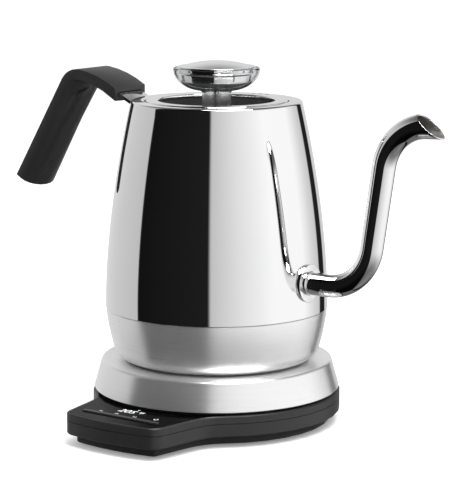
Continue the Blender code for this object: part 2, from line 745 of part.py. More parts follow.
def make_band(looks):
    """Brushed lower band, with a ledge for the vessel floor and a lip for the underside cover."""
    slope = math.atan(1.5 * BAND_DRAW / (BAND_SEAM_Z - BAND_CORNER_Z))
    corner = (band_radius(BAND_CORNER_Z) - BAND_CORNER_R * math.cos(slope),
              KETTLE_BOTTOM_Z + BAND_CORNER_R)
    levels = wall_heights(BAND_CORNER_Z, BAND_SEAM_Z, 3)
    ledge = BAND_TOP_R - BAND_LEDGE
    under = BAND_SEAM_Z - BAND_WALL
    inner = under_cover_radius() + SEAT_GAP
    profile = [(ledge, BAND_SEAM_Z), (BAND_TOP_R, BAND_SEAM_Z)]
    profile += [(band_radius(z), z) for z in levels]
    profile += arc(corner, BAND_CORNER_R, -slope, -math.pi / 2, 4)
    profile += [(BAND_LIP_R, KETTLE_BOTTOM_Z), (BAND_LIP_R, LIP_TOP_Z), (inner, LIP_TOP_Z)]
    profile += [(inner, UNDER_COVER_TOP_Z)]
    profile += [(band_radius(BAND_CORNER_Z) - BAND_WALL, BAND_CORNER_Z + BAND_WALL)]
    profile += [(band_radius(z) - BAND_WALL, z) for z in reversed(levels)]
    profile += [(band_radius(under) - BAND_WALL, under), (ledge, under)]
    turned("lower_band", profile, looks["brushed"])


def under_cover_radius():
    """Radius of the underside cover, inside the band's bottom corner."""
    return band_radius(BAND_CORNER_Z) - BAND_CORNER_R / 2


def make_floor(looks):
    """Vessel floor with the heating element, thermostat and probe."""
    radius = shell_radius(PLATE_TOP_Z) - SHELL_WALL - SEAT_GAP
    bottom = PLATE_UNDER_Z + SEAT_GAP
    plate = turned("heating_plate", rod_profile(radius, PLATE_TOP_Z, bottom), looks["element"])
    bore = rod_profile(PROBE_R + SEAT_GAP, PLATE_TOP_Z + CUT_PAST, bottom - CUT_PAST)
    cut(plate, turned("probe_hole", bore, None, SMALL_STEPS, CUTTERS, (*PROBE_XY, 0)))
    make_element(looks)
    top = bottom - SEAT_GAP
    block("control_module", CONTROL_SIZE, (0, -0.006, top - CONTROL_SIZE[2] / 2), looks["housing"], 0.0008)
    tip = PLATE_TOP_Z + PROBE_HEIGHT
    flange = PROBE_R + 0.0025
    profile = [
        (0, tip),
        (PROBE_R * 0.8, tip),
        (PROBE_R, tip - PROBE_R * 0.4),
        (PROBE_R, top - 0.0012),
        (flange, top - 0.0012),
        (flange, top - 0.0026),
        (0, top - 0.0026),
    ]
    turned("temperature_probe", profile, looks["polished"], SMALL_STEPS, None, (*PROBE_XY, 0))
    ring = tube_profile(PROBE_R + SEAT_GAP, flange, top, top - 0.0012 + SEAT_GAP)
    turned("probe_gasket", ring, looks["silicone"], SMALL_STEPS, None, (*PROBE_XY, 0))


def make_element(looks):
    """Sheathed heating element: an open ring with two legs that turn down."""
    z = PLATE_UNDER_Z - ELEMENT_R
    half = ELEMENT_GAP_ANGLE / 2
    ring = arc((0, 0), ELEMENT_RING_R, math.pi / 2 + half, 5 * math.pi / 2 - half, 20)
    curve = bpy.data.curves.new("heating_element", "CURVE")
    curve.dimensions = "3D"
    curve.bevel_depth = ELEMENT_R
    curve.bevel_resolution = 2
    curve.use_fill_caps = True
    points = [(*ring[0], z - ELEMENT_LEG)] + [(x, y, z) for x, y in ring]
    points += [(*ring[-1], z - ELEMENT_LEG)]
    spline = curve.splines.new("POLY")
    spline.points.add(len(points) - 1)
    for point, place in zip(spline.points, points):
        point.co = (*place, 1)
    element = mesh_of_curve(put("heating_element", curve, looks["element"]))
    return element


def make_underside(looks):
    """Cover under the kettle, its posts and screws, and the ring that keeps the socket in."""
    hole = SOCKET_OUTER_R + RUNNING_GAP
    flat = tube_profile(hole, under_cover_radius(), UNDER_COVER_TOP_Z, UNDER_COVER_Z)
    cover = turned("underside_cover", flat, looks["housing"])
    for number, angle in enumerate(POST_ANGLES, 1):
        x = POST_RING_R * math.cos(math.radians(angle))
        y = POST_RING_R * math.sin(math.radians(angle))
        bottom = UNDER_COVER_TOP_Z + SEAT_GAP
        tip = bottom + 0.010
        bore = SCREW_R + SEAT_GAP
        post = [
            (0, PLATE_UNDER_Z),
            (POST_R, PLATE_UNDER_Z),
            (POST_R, bottom),
            (bore, bottom),
            (bore, tip + RUNNING_GAP),
            (0, tip + RUNNING_GAP),
        ]
        turned(f"cover_post_{number}", post, looks["zinc"], SMALL_STEPS, None, (x, y, 0))
        profile = screw_profile(tip, UNDER_COVER_Z - SEAT_GAP, SCREW_HEAD_H)
        turned(f"cover_screw_{number}", profile, looks["zinc"], SMALL_STEPS, None, (x, y, 0))
        hole_cut = rod_profile(bore, UNDER_COVER_TOP_Z + CUT_PAST, UNDER_COVER_Z - CUT_PAST)
        tool = turned(f"cover_hole_{number}", hole_cut, None, SMALL_STEPS, CUTTERS, (x, y, 0))
        cut(cover, tool)
    flange_top = SOCKET_FLANGE_Z + FLANGE_THICK
    inner = SOCKET_OUTER_R + RUNNING_GAP
    outer = SOCKET_FLANGE_R + RUNNING_GAP
    keeper = [
        (inner, flange_top + SEAT_GAP + FLANGE_THICK),
        (outer + STEP_HEIGHT, flange_top + SEAT_GAP + FLANGE_THICK),
        (outer + STEP_HEIGHT, UNDER_COVER_TOP_Z + SEAT_GAP),
        (outer, UNDER_COVER_TOP_Z + SEAT_GAP),
        (outer, flange_top + SEAT_GAP),
        (inner, flange_top + SEAT_GAP),
    ]
    turned("socket_keeper", keeper, looks["zinc"])


def make_socket(looks):
    """Kettle's half of the connector: a cup with a centre pin and a contact skirt."""
    roof = SOCKET_CEILING_Z + 0.0035
    bottom = KETTLE_BOTTOM_Z + 0.0003
    floor = CONNECTOR_TOP_Z - CONNECTOR_DEPTH + 0.0038
    half = CONNECTOR_GROOVE_W / 2 - RUNNING_GAP
    flange_top = SOCKET_FLANGE_Z + FLANGE_THICK
    profile = [
        (0, roof),
        (SOCKET_OUTER_R, roof),
        (SOCKET_OUTER_R, flange_top),
        (SOCKET_FLANGE_R, flange_top),
        (SOCKET_FLANGE_R, SOCKET_FLANGE_Z),
        (SOCKET_OUTER_R, SOCKET_FLANGE_Z),
        (SOCKET_OUTER_R, bottom),
        (SOCKET_R, bottom),
        (SOCKET_R, SOCKET_CEILING_Z),
        (CONNECTOR_GROOVE_R + half, SOCKET_CEILING_Z),
        (CONNECTOR_GROOVE_R + half, floor),
        (CONNECTOR_GROOVE_R - half, floor),
        (CONNECTOR_GROOVE_R - half, SOCKET_CEILING_Z),
        (CONNECTOR_PIN_R + SEAT_GAP, SOCKET_CEILING_Z),
        (CONNECTOR_PIN_R + SEAT_GAP, roof - 0.0015),
        (0, roof - 0.0015),
    ]
    turned("kettle_socket", profile, looks["housing"])
    pin = rod_profile(CONNECTOR_PIN_R, roof - 0.0015 - SEAT_GAP, floor)
    turned("socket_pin", pin, looks["brass"], SMALL_STEPS)


# ---------------------------------------------------------------- spout
def spout_walk():
    """Centre line of the spout: root, bend, riser, bend, tip."""
    up = math.pi / 2 - SPOUT_LEAN
    down = SPOUT_TIP_TILT - up
    first = SPOUT_BEND_R * math.tan(up / 2)
    second = SPOUT_BEND_R * math.tan(-down / 2)
    start = SHELL_SEAM_R - 0.0025
    riser = SPOUT_RISE / math.cos(SPOUT_LEAN) - first - second
    moves = [
        ("line", SPOUT_REACH - first - start),
        ("arc", SPOUT_BEND_R, up, 6),
        ("line", riser / 2),
        ("line", riser / 2),
        ("arc", SPOUT_BEND_R, down, 6),
        ("line", 0.012),
    ]
    return trace((start, SPOUT_Z), 0.0, moves)


def make_spout(looks):
    """Thin-walled bent tube with a slanted mouth, and the collar where it leaves the vessel."""
    walk = spout_walk()
    points = [(x, z) for x, z, _ in walk]
    count = len(points) - 1
    radii = [SPOUT_ROOT_R + (SPOUT_TIP_R - SPOUT_ROOT_R) * (i / count) ** 3 for i in range(count + 1)]
    tube = bent_tube("spout_tube", points, radii, looks["polished"])
    bore_points = [(points[0][0] - CUT_PAST, points[0][1])] + points[1:-1]
    bore_points += [(points[-1][0] + CUT_PAST, points[-1][1] + CUT_PAST * math.tan(SPOUT_TIP_TILT))]
    bore = bent_tube("spout_bore", bore_points, [r - SPOUT_WALL for r in radii], None, CUTTERS)
    cut(tube, bore)
    before, after = [p for p in zip(points, points[1:]) if p[1][0] > SPOUT_MOUTH_X][0]
    share = (SPOUT_MOUTH_X - before[0]) / (after[0] - before[0])
    mouth = (SPOUT_MOUTH_X, before[1] + share * (after[1] - before[1]))
    side = 0.05
    slab = block("spout_mouth_cut", (side, side, side), (0, 0, 0), None, 0, CUTTERS)
    slope = Matrix.Rotation(SPOUT_MOUTH_TILT - math.pi / 2, 4, "Y")
    slab.matrix_world = (Matrix.Translation((mouth[0], 0, mouth[1])) @ slope
                         @ Matrix.Translation((side / 2, 0, 0)))
    cut(tube, slab)
    face = shell_radius(SPOUT_Z) + COLLAR_THICK
    ring = tube_profile(SPOUT_ROOT_R + SEAT_GAP, COLLAR_R, face, face - 0.005)
    collar = turned("spout_collar", ring, looks["polished"], 24, None, (0, 0, SPOUT_Z),
                    (0, math.pi / 2, 0))
    cut(collar, wall_solid("collar_seat", SEAT_GAP))


# ---------------------------------------------------------------- handle
def grip_section(depth, side):
    """Half-section points (across, depth): flat back, straight side, then half an ellipse."""
    bulge = depth - side
    belly = arc((0, 0), 1.0, 0, math.pi / 2, 5)
    half = [(0.0, 0.0), (HANDLE_HALF_WIDTH, 0.0)]
    half += [(HANDLE_HALF_WIDTH * x, side + bulge * y) for x, y in belly]
    return half


def make_grip(looks):
    """Moulded handle, lofted from a flat plate at the rim end to a rounded grip."""
    moves = [
        ("arc", PLATE_ARC_R, PLATE_ARC, 4),
        ("arc", KNEE_R, KNEE_ARC, 6),
        ("line", GRIP_LENGTH / 2),
        ("line", GRIP_LENGTH / 2),
    ]
    walk = trace(HANDLE_END, math.pi - HANDLE_RISE, moves)
    bm = bmesh.new()
    rings = []
    for number, (x, z, heading) in enumerate(walk):
        share = min(max((number - 3) / 7, 0.0), 1.0)
        blend = share * share * (3 - 2 * share)
        depth = PLATE_DEPTH + (GRIP_DEPTH - PLATE_DEPTH) * blend
        side = PLATE_DEPTH - 0.0003 + (GRIP_SIDE - PLATE_DEPTH) * blend
        half = grip_section(depth, side)
        ring = half + [(-across, deep) for across, deep in reversed(half[1:-1])]
        inward = Vector((-math.sin(heading), math.cos(heading)))
        if number == 0:
            inward = Vector((0.0, -1.0 / math.cos(HANDLE_RISE)))
        rings.append([bm.verts.new((x + inward.x * deep, across, z + inward.y * deep))
                      for across, deep in ring])
    bm.faces.new(rings[0])
    bm.faces.new(rings[-1])
    for lower, upper in zip(rings, rings[1:]):
        for i in range(len(lower)):
            bm.faces.new((lower[i - 1], lower[i], upper[i], upper[i - 1]))
    bmesh.ops.recalc_face_normals(bm, faces=bm.faces)
    return put("handle_grip", mesh_from(bm, "handle_grip"), looks["handle"])


def strap_frame():
    """Middle of the handle's end face, and the strap's downward direction."""
    middle = Vector((HANDLE_END[0], HANDLE_END[1] - PLATE_DEPTH / math.cos(HANDLE_RISE) / 2))
    return middle, Vector((math.cos(STRAP_SLOPE), -math.sin(STRAP_SLOPE)))


def make_strap(looks, grip):
    """Steel strap from the vessel wall into a slot in the handle, with two screws from below."""
    middle, along = strap_frame()
    tang = middle - along * STRAP_TANG
    wall = -shell_radius(middle.y - 0.008) - SEAT_GAP - STRAP_THICK / 2
    lean = shell_slope(middle.y - 0.012)
    turn = math.pi / 2 - STRAP_SLOPE + lean
    reach = (wall - tang.x) / math.cos(STRAP_SLOPE) - STRAP_BEND_R * math.tan(turn / 2)
    moves = [("line", reach), ("arc", STRAP_BEND_R, -turn, 4), ("line", STRAP_FOOT)]
    walk = trace(tang, -STRAP_SLOPE, moves)
    half = STRAP_THICK / 2
    upper = [(x - half * math.sin(h), z + half * math.cos(h)) for x, z, h in walk]
    lower = [(x + half * math.sin(h), z - half * math.cos(h)) for x, z, h in walk]
    embed = HANDLE_HALF_WIDTH * 0.15
    upper = [(x + embed, z) if number > 1 else (x, z) for number, (x, z) in enumerate(upper)]
    upright = Matrix.Rotation(math.pi / 2, 4, "X")
    strap = flat_outline("handle_strap", upper + lower[::-1], 2 * STRAP_HALF_WIDTH,
                         looks["polished"], upright)
    cut(strap, wall_solid("strap_seat", SEAT_GAP))
    slot_size = (2 * (STRAP_TANG + SEAT_GAP), 2 * (STRAP_HALF_WIDTH + SEAT_GAP),
                 STRAP_THICK + 2 * SEAT_GAP)
    slot = block("tang_slot", slot_size, (0, 0, 0), None, 0, CUTTERS)
    slot.matrix_world = (Matrix.Translation((middle.x, 0, middle.y))
                         @ Matrix.Rotation(STRAP_SLOPE, 4, "Y"))
    cut(grip, slot)
    make_handle_screws(looks, grip, strap, middle, along)


def make_handle_screws(looks, grip, strap, middle, along):
    """Two screws through the handle's underside and the strap's tang."""
    place = middle - along * (STRAP_TANG * 0.55)
    tilt = Matrix.Rotation(STRAP_SLOPE, 4, "Y")
    head_z = -PLATE_DEPTH / 2 + 0.0008
    tip = PLATE_DEPTH / 2 - 0.0018
    for number, y in ((1, -STRAP_HALF_WIDTH / 2), (2, STRAP_HALF_WIDTH / 2)):
        frame = Matrix.Translation((place.x, y, place.y)) @ tilt
        profile = screw_profile(tip, head_z + 0.0008, SCREW_HEAD_H)
        screw = turned(f"handle_screw_{number}", profile, looks["zinc"], SMALL_STEPS)
        screw.matrix_world = frame
        wide = SCREW_HEAD_R + SEAT_GAP
        bore = SCREW_R + SEAT_GAP
        top = tip + SEAT_GAP
        step = head_z + 0.0008 + SEAT_GAP
        shape = [(0, top), (bore, top), (bore, step), (wide, step), (wide, -0.02), (0, -0.02)]
        tool = turned(f"handle_hole_{number}", shape, None, SMALL_STEPS, CUTTERS)
        tool.matrix_world = frame
        cut(grip, tool)
        through = turned(f"tang_hole_{number}", rod_profile(bore, top, -0.02), None, SMALL_STEPS,
                         CUTTERS)
        through.matrix_world = frame
        cut(strap, through)


# ---------------------------------------------------------------- lid and knob
def make_lid(looks):
    """Steel lid ring, sunken plastic body and its seal."""
    ring_bottom = LID_TOP_Z - LID_RING_THICK
    edge = 0.0004
    turned("lid_ring", [
        (WELL_R, LID_TOP_Z),
        (LID_RING_R - edge, LID_TOP_Z),
        (LID_RING_R, LID_TOP_Z - edge),
        (LID_RING_R, ring_bottom),
        (WELL_R, ring_bottom),
    ], looks["polished"])
    flange_top = ring_bottom - SEAT_GAP
    flange_bottom = NECK_STEP_Z + SEAT_GAP
    floor_under = WELL_FLOOR_Z - LID_WALL
    wall = WELL_R + LID_WALL
    foot = wall + SEAL_THICK
    turned("lid_body", [
        (WELL_R, flange_top),
        (LID_RING_R - SEAT_GAP, flange_top),
        (LID_RING_R - SEAT_GAP, flange_bottom),
        (wall, flange_bottom),
        (wall, WELL_FLOOR_Z),
        (foot, WELL_FLOOR_Z),
        (foot, floor_under),
        (SCREW_R + 2 * SEAT_GAP, floor_under),
        (SCREW_R + 2 * SEAT_GAP, WELL_FLOOR_Z),
        (WELL_R - LID_WALL / 2, WELL_FLOOR_Z),
        (WELL_R, WELL_FLOOR_Z + LID_WALL / 2),
    ], looks["well"])
    inner = wall + SEAT_GAP
    lip = NECK_R - SEAT_GAP
    middle = (flange_bottom + WELL_FLOOR_Z) / 2
    turned("lid_seal", [
        (inner, flange_bottom - SEAT_GAP),
        (inner + SEAL_THICK, flange_bottom - SEAT_GAP),
        (inner + SEAL_THICK, middle + 0.001),
        (lip, middle),
        (inner + SEAL_THICK, middle - 0.001),
        (inner + SEAL_THICK, WELL_FLOOR_Z + SEAT_GAP),
        (inner, WELL_FLOOR_Z + SEAT_GAP),
    ], looks["silicone"])


def bowl_curve(grow, start, end, count):
    """Quarter ellipse of the knob's bowl, from its rim angle down to its floor."""
    centre_r = STEM_R
    rim = KNOB_TOP_Z - 0.0008
    points = arc((0, 0), 1.0, start, end, count)
    return [(centre_r + (KNOB_R - centre_r + grow) * x, rim + (KNOB_BOWL_DEPTH + grow) * y)
            for x, y in points]


def make_knob(looks):
    """Clear bowl and stem in one moulding, chrome insert, domed cap and the screw from below."""
    bore = SCREW_R + 2 * SEAT_GAP
    stem_bottom = WELL_FLOOR_Z + SEAT_GAP
    outer = bowl_curve(0.0, 0.0, -math.pi / 2 + 0.05, 7)
    inner = bowl_curve(-KNOB_WALL, -math.pi / 2, 0.0, 6)
    profile = [(inner[-1][0], KNOB_TOP_Z), (outer[0][0] - 0.0002, KNOB_TOP_Z)] + outer
    profile += [(STEM_R, outer[-1][1] - 0.001), (STEM_R, stem_bottom), (bore, stem_bottom)]
    profile += [(bore, inner[0][1])] + inner
    turned("knob_bowl", profile, looks["clear"])
    belly = bowl_curve(-KNOB_WALL - RUNNING_GAP, -math.radians(38), -math.pi / 2, 4)
    band_step = KNOB_TOP_Z - 0.0036
    socket = KNOB_TOP_Z - 0.0034
    turned("knob_insert", [
        (0, KNOB_TOP_Z),
        (KNOB_BAND_R + 0.0005, KNOB_TOP_Z),
        (KNOB_BAND_R, KNOB_TOP_Z - 0.0008),
        (KNOB_BAND_R, band_step),
        (KNOB_BAND_R - 0.0008, band_step),
        (KNOB_BAND_R - 0.0010, belly[0][1] + 0.0006),
    ] + belly + [
        (bore, belly[-1][1]),
        (bore, socket),
        (0, socket),
    ], looks["polished"])
    cap_bottom = KNOB_TOP_Z + SEAT_GAP
    rim = cap_bottom + 0.0005
    dome_r = KNOB_CAP_R - 0.0018
    sphere = (dome_r ** 2 + KNOB_DOME_H ** 2) / (2 * KNOB_DOME_H)
    centre = (0, rim + KNOB_DOME_H - sphere)
    edge = math.asin(dome_r / sphere)
    dome = arc(centre, sphere, math.pi / 2, math.pi / 2 - edge, 5)
    dome[0] = (0, rim + KNOB_DOME_H)
    turned("knob_cap", dome + [(KNOB_CAP_R, rim), (KNOB_CAP_R, cap_bottom), (0, cap_bottom)],
           looks["polished"])
    seat = WELL_FLOOR_Z - LID_WALL - SEAT_GAP
    turned("knob_screw", screw_profile(socket - SEAT_GAP, seat, SCREW_HEAD_H), looks["zinc"],
           SMALL_STEPS)


def main():
    clear_scene()
    looks = make_finishes()
    tray = make_tray(looks)
    cover = make_cover(looks)
    make_inlet(looks, tray, cover)
    make_panel(looks)
    make_ring(looks)
    make_base_connector(looks)
    make_base_fittings(looks)
    make_socket(looks)
    make_shell(looks)
    make_band(looks)
    make_floor(looks)
    make_underside(looks)
    make_spout(looks)
    grip = make_grip(looks)
    make_strap(looks, grip)
    make_lid(looks)
    make_knob(looks)


main()
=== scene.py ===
# %% [markdown]
# # Dressing a gooseneck kettle
# The kettle comes in as a frame: every part of it already has its place, its size and its body.
# This lesson gives that frame its looks. Large round parts are modelled again, finely enough to
# act as mirrors. Parts whose shape is already right only get a better finish.

import math

import bpy
from mathutils import Matrix, Vector


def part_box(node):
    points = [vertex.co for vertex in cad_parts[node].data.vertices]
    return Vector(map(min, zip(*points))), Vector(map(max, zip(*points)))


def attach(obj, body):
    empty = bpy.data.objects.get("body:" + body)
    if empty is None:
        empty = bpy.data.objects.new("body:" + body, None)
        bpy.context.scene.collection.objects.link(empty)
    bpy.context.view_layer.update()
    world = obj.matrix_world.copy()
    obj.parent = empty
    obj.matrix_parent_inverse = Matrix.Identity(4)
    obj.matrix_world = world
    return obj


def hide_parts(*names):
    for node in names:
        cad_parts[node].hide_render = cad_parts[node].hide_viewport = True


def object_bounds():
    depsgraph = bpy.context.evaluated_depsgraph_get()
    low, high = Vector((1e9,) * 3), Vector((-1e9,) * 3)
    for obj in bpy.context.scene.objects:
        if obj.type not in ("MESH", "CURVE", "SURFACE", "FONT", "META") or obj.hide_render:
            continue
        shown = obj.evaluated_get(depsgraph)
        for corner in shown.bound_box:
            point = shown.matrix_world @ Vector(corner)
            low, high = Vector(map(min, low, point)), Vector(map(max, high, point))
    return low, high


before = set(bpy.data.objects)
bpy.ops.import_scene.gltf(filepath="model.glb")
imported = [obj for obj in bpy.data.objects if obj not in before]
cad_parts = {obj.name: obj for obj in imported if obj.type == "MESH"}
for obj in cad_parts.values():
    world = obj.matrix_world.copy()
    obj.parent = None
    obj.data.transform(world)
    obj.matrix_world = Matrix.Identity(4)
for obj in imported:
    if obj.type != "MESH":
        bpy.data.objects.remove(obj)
cad_low, cad_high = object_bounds()
print("the frame measures", [round(high - low, 4) for low, high in zip(cad_low, cad_high)], "m")

# %% [markdown]
# ## Camera
# A long lens about 1.2 m away keeps the kettle's upright lines almost parallel. The camera looks
# down by some twelve degrees, with the spout pointing to the right. It could be aimed with a
# constraint, but a turn worked out once leaves nothing behind that other views have to undo.

# %% Camera
CAMERA_AT = Vector((0.7091, -0.9731, 0.3095))
LOOK_AT = Vector((0.0046, 0.0033, 0.0973))
LENS = 153.0
lens = bpy.data.cameras.new("camera")
lens.lens = LENS
camera = bpy.data.objects.new("camera", lens)
camera.location = CAMERA_AT
camera.rotation_euler = (LOOK_AT - CAMERA_AT).to_track_quat("-Z", "Y").to_euler()
bpy.context.scene.collection.objects.link(camera)
bpy.context.scene.camera = camera
print("camera distance", round((LOOK_AT - CAMERA_AT).length, 3), "m")

# %% [markdown]
# ## A small kit for shader maths
# A finish is a handful of nodes. Written out one by one they hide the idea, so two small classes
# stand in: a Wire is an output that plain arithmetic works on, and a Finish makes nodes in its
# own material. An expression such as `1 - mask * 0.2` then adds its Math nodes by itself.

# %% Wires and finishes
class Wire:
    """An output socket that arithmetic signs work on."""

    def __init__(self, finish, socket):
        self.finish = finish
        self.socket = socket

    def maths(self, operation, first, second):
        return self.finish.node("ShaderNodeMath", {"operation": operation}, {0: first, 1: second})

    def __add__(self, other):
        return self.maths("ADD", self, other)

    def __sub__(self, other):
        return self.maths("SUBTRACT", self, other)

    def __rsub__(self, other):
        return self.maths("SUBTRACT", other, self)

    def __mul__(self, other):
        return self.maths("MULTIPLY", self, other)

    __radd__ = __add__
    __rmul__ = __mul__


class Finish:
    """A material with one Principled shader. Its keywords set that shader's own sockets."""

    def __init__(self, name, **numbers):
        self.material = bpy.data.materials.new(name)
        self.material.use_nodes = True
        self.tree = self.material.node_tree
        self.shader = self.tree.nodes["Principled BSDF"]
        for key, value in numbers.items():
            self.shader.inputs[key.replace("_", " ")].default_value = value

    def node(self, kind, settings=None, values=None, output=0):
        """Add a node: its settings first, then its values and links. Returns one output."""
        made = self.tree.nodes.new(kind)
        for key, value in (settings or {}).items():
            setattr(made, key, value)
        for key, value in (values or {}).items():
            if isinstance(value, Wire):
                self.tree.links.new(value.socket, made.inputs[key])
            else:
                made.inputs[key].default_value = value
        return Wire(self, made.outputs[output])

    def feed(self, socket, wire):
        self.tree.links.new(wire.socket, self.shader.inputs[socket])

    def place(self, scale=(1, 1, 1)):
        """Object coordinates in metres, stretched by a scale."""
        spot = self.node("ShaderNodeTexCoord", output=3)
        return self.node("ShaderNodeMapping", None, {"Vector": spot, "Scale": scale})

    def noise(self, scale, detail=2.0, stretch=(1, 1, 1)):
        values = {"Vector": self.place(stretch), "Scale": scale, "Detail": detail}
        return self.node("ShaderNodeTexNoise", None, values)

    def between(self, mask, first, second):
        """A colour between two others, as a mask goes from 0 to 1."""
        values = {0: mask, 6: (*first, 1.0), 7: (*second, 1.0)}
        return self.node("ShaderNodeMix", {"data_type": "RGBA"}, values, 2)

    def bump(self, height, distance, strength=1.0):
        values = {"Height": height, "Distance": distance, "Strength": strength}
        self.feed("Normal", self.node("ShaderNodeBump", None, values))


print("the kit is ready")

# %% [markdown]
# ## Metals
# The vessel is mirror-polished steel, and the band and the base's ring are brushed round and
# round. A mirror is all reflection, so its finish is nearly nothing: a trace of haze where hands
# have been. Brushing is a noise squeezed flat in height, so it draws fine level lines.

# %% Polished and brushed steel
polished = Finish("polished_steel", Metallic=1.0)
haze = polished.noise(18.0, 3.0)
polished.feed("Roughness", haze * 0.025 + 0.012)
polished.feed("Base Color", polished.between(haze, (0.94, 0.94, 0.945), (0.975, 0.975, 0.975)))

brushed = Finish("brushed_steel", Metallic=0.88, Anisotropic=0.65, Anisotropic_Rotation=0.25)
lines = brushed.noise(1.0, 4.0, (30, 30, 5200))
patches = brushed.noise(1.0, 2.0, (26, 26, 700))
brushed.feed("Roughness", lines * 0.08 + 0.25)
brushed.feed("Base Color", brushed.between(lines * 0.7 + patches * 0.3, (0.84, 0.84, 0.845), (1.0, 1.0, 1.0)))
brushed.bump(lines, 0.000004, 0.4)

element = Finish("element_steel", Metallic=1.0)
element.feed("Roughness", element.noise(160.0) * 0.2 + 0.35)
element.feed("Base Color", element.between(element.noise(90.0), (0.42, 0.40, 0.38), (0.62, 0.60, 0.57)))

brass = Finish("contact_brass", Metallic=1.0)
brass.feed("Roughness", brass.noise(300.0) * 0.15 + 0.2)
brass.feed("Base Color", brass.between(brass.noise(220.0), (0.72, 0.52, 0.22), (0.84, 0.66, 0.34)))

zinc = Finish("screw_zinc", Metallic=1.0)
zinc.feed("Roughness", zinc.noise(400.0) * 0.15 + 0.25)
zinc.feed("Base Color", zinc.between(zinc.noise(300.0), (0.58, 0.58, 0.57), (0.72, 0.72, 0.71)))

# %% [markdown]
# ## Plastics and rubber
# The housing and the handle are moulded in charcoal with a fine grain, like very fine leather.
# A grain is a bump, so it never changes the outline. The control panel is the same charcoal
# under a dark gloss. The knob's bowl is clear right through, and its stem is frosted inside, so
# below the bowl the same finish turns greyer and rougher.

# %% Charcoal mouldings, gloss panel, clear plastic and rubber
def grained(name, dark, light, roughness, grain_scale, depth):
    """Moulded plastic: slightly uneven colour and shine over a fine grain."""
    made = Finish(name)
    cloud = made.noise(40.0, 3.0)
    grain = made.noise(grain_scale, 2.0)
    made.feed("Base Color", made.between(cloud * 0.5 + grain * 0.5, dark, light))
    made.feed("Roughness", grain * 0.12 + roughness)
    made.bump(grain, depth, 0.6)
    return made


handle = grained("handle_plastic", (0.014, 0.014, 0.015), (0.022, 0.022, 0.023), 0.36, 2600.0, 0.00004)
housing = grained("housing_plastic", (0.011, 0.011, 0.012), (0.018, 0.018, 0.019), 0.38, 2600.0, 0.00003)
# The lid well's own dark plastic. The same finish is also painted shade on the vent walls.
well_and_vent_shade = grained("well_plastic", (0.055, 0.055, 0.055), (0.080, 0.080, 0.080), 0.40, 1800.0, 0.00003)
rubber = grained("rubber", (0.010, 0.010, 0.010), (0.018, 0.018, 0.018), 0.62, 1500.0, 0.00005)
silicone = grained("seal_silicone", (0.30, 0.31, 0.31), (0.38, 0.39, 0.39), 0.45, 900.0, 0.00003)
slider = grained("slider_grey", (0.030, 0.030, 0.032), (0.045, 0.045, 0.047), 0.40, 900.0, 0.00001)
board = grained("circuit_board", (0.015, 0.10, 0.05), (0.03, 0.16, 0.08), 0.35, 500.0, 0.00003)

panel = Finish("panel_gloss", Specular_IOR_Level=0.02)
dust = panel.noise(900.0, 3.0)
panel.feed("Base Color", panel.between(dust, (0.0012, 0.0012, 0.0014), (0.0024, 0.0024, 0.0028)))
panel.feed("Roughness", dust * 0.08 + 0.06)

clear = Finish("clear_plastic", Transmission_Weight=1.0, IOR=1.45)
stem_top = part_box("knob_bowl")[1].z - 0.0150
height = clear.node("ShaderNodeSeparateXYZ", None, {0: clear.place()}, 2)
frost = clear.node("ShaderNodeMath", {"operation": "LESS_THAN"}, {0: height, 1: stem_top})
clear.feed("Base Color", clear.between(frost, (0.95, 0.955, 0.96), (0.72, 0.72, 0.72)))
clear.feed("Roughness", clear.noise(120.0) * 0.03 + frost * 0.30 + 0.01)

FINISHES = {
    "polished_steel": polished,
    "brushed_steel": brushed,
    "element_steel": element,
    "housing_plastic": housing,
    "panel_gloss": panel,
    "slider_grey": slider,
    "handle_plastic": handle,
    "clear_plastic": clear,
    "well_plastic": well_and_vent_shade,
    "seal_silicone": silicone,
    "contact_brass": brass,
    "circuit_board": board,
    "rubber": rubber,
    "screw_zinc": zinc,
}
print(len(FINISHES), "finishes made")

# %% [markdown]
# ## Finishes for the parts that stay
# The record says which slot each part takes its finish from. The frame's own material carries
# that slot's name, so one loop dresses every part of the frame, inside and out.

# %% Dress the frame
def finish_of(obj):
    """The finish whose name the object's first material starts with."""
    words = obj.material_slots[0].material.name if obj.material_slots else ""
    return next((made for slot, made in FINISHES.items() if words.startswith(slot)), housing)


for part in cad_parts.values():
    chosen = finish_of(part)
    for holder in part.material_slots:
        holder.material = chosen.material
    print(part.name, "wears", chosen.material.name)

# %% [markdown]
# ## Turning round parts
# The vessel, band, ring, lid and knob are round, and most show sharp reflections, so they need
# far more faces than the frame has. By hand, one point is pushed along the profile by extruding,
# and the wire is spun round the upright axis. A closed profile makes a wall with real thickness.

# %% Lathe
def arc(centre, radius, start, end, count):
    """Points along part of a circle, angles in degrees, both ends included."""
    angles = [math.radians(start + (end - start) * i / count) for i in range(count + 1)]
    return [(centre[0] + radius * math.cos(a), centre[1] + radius * math.sin(a)) for a in angles]


def levels(low, high, count):
    """Evenly spaced numbers from low to high, both included."""
    return [low + (high - low) * i / count for i in range(count + 1)]


def finish_edit(piece, angle):
    """Merge doubles, turn faces outwards, and shade smooth except over sharp edges."""
    bpy.ops.mesh.select_all(action="SELECT")
    bpy.ops.mesh.remove_doubles(threshold=0.000002)
    bpy.ops.mesh.normals_make_consistent(inside=False)
    bpy.ops.object.mode_set(mode="OBJECT")
    bpy.ops.object.shade_smooth_by_angle(angle=math.radians(angle))
    return piece


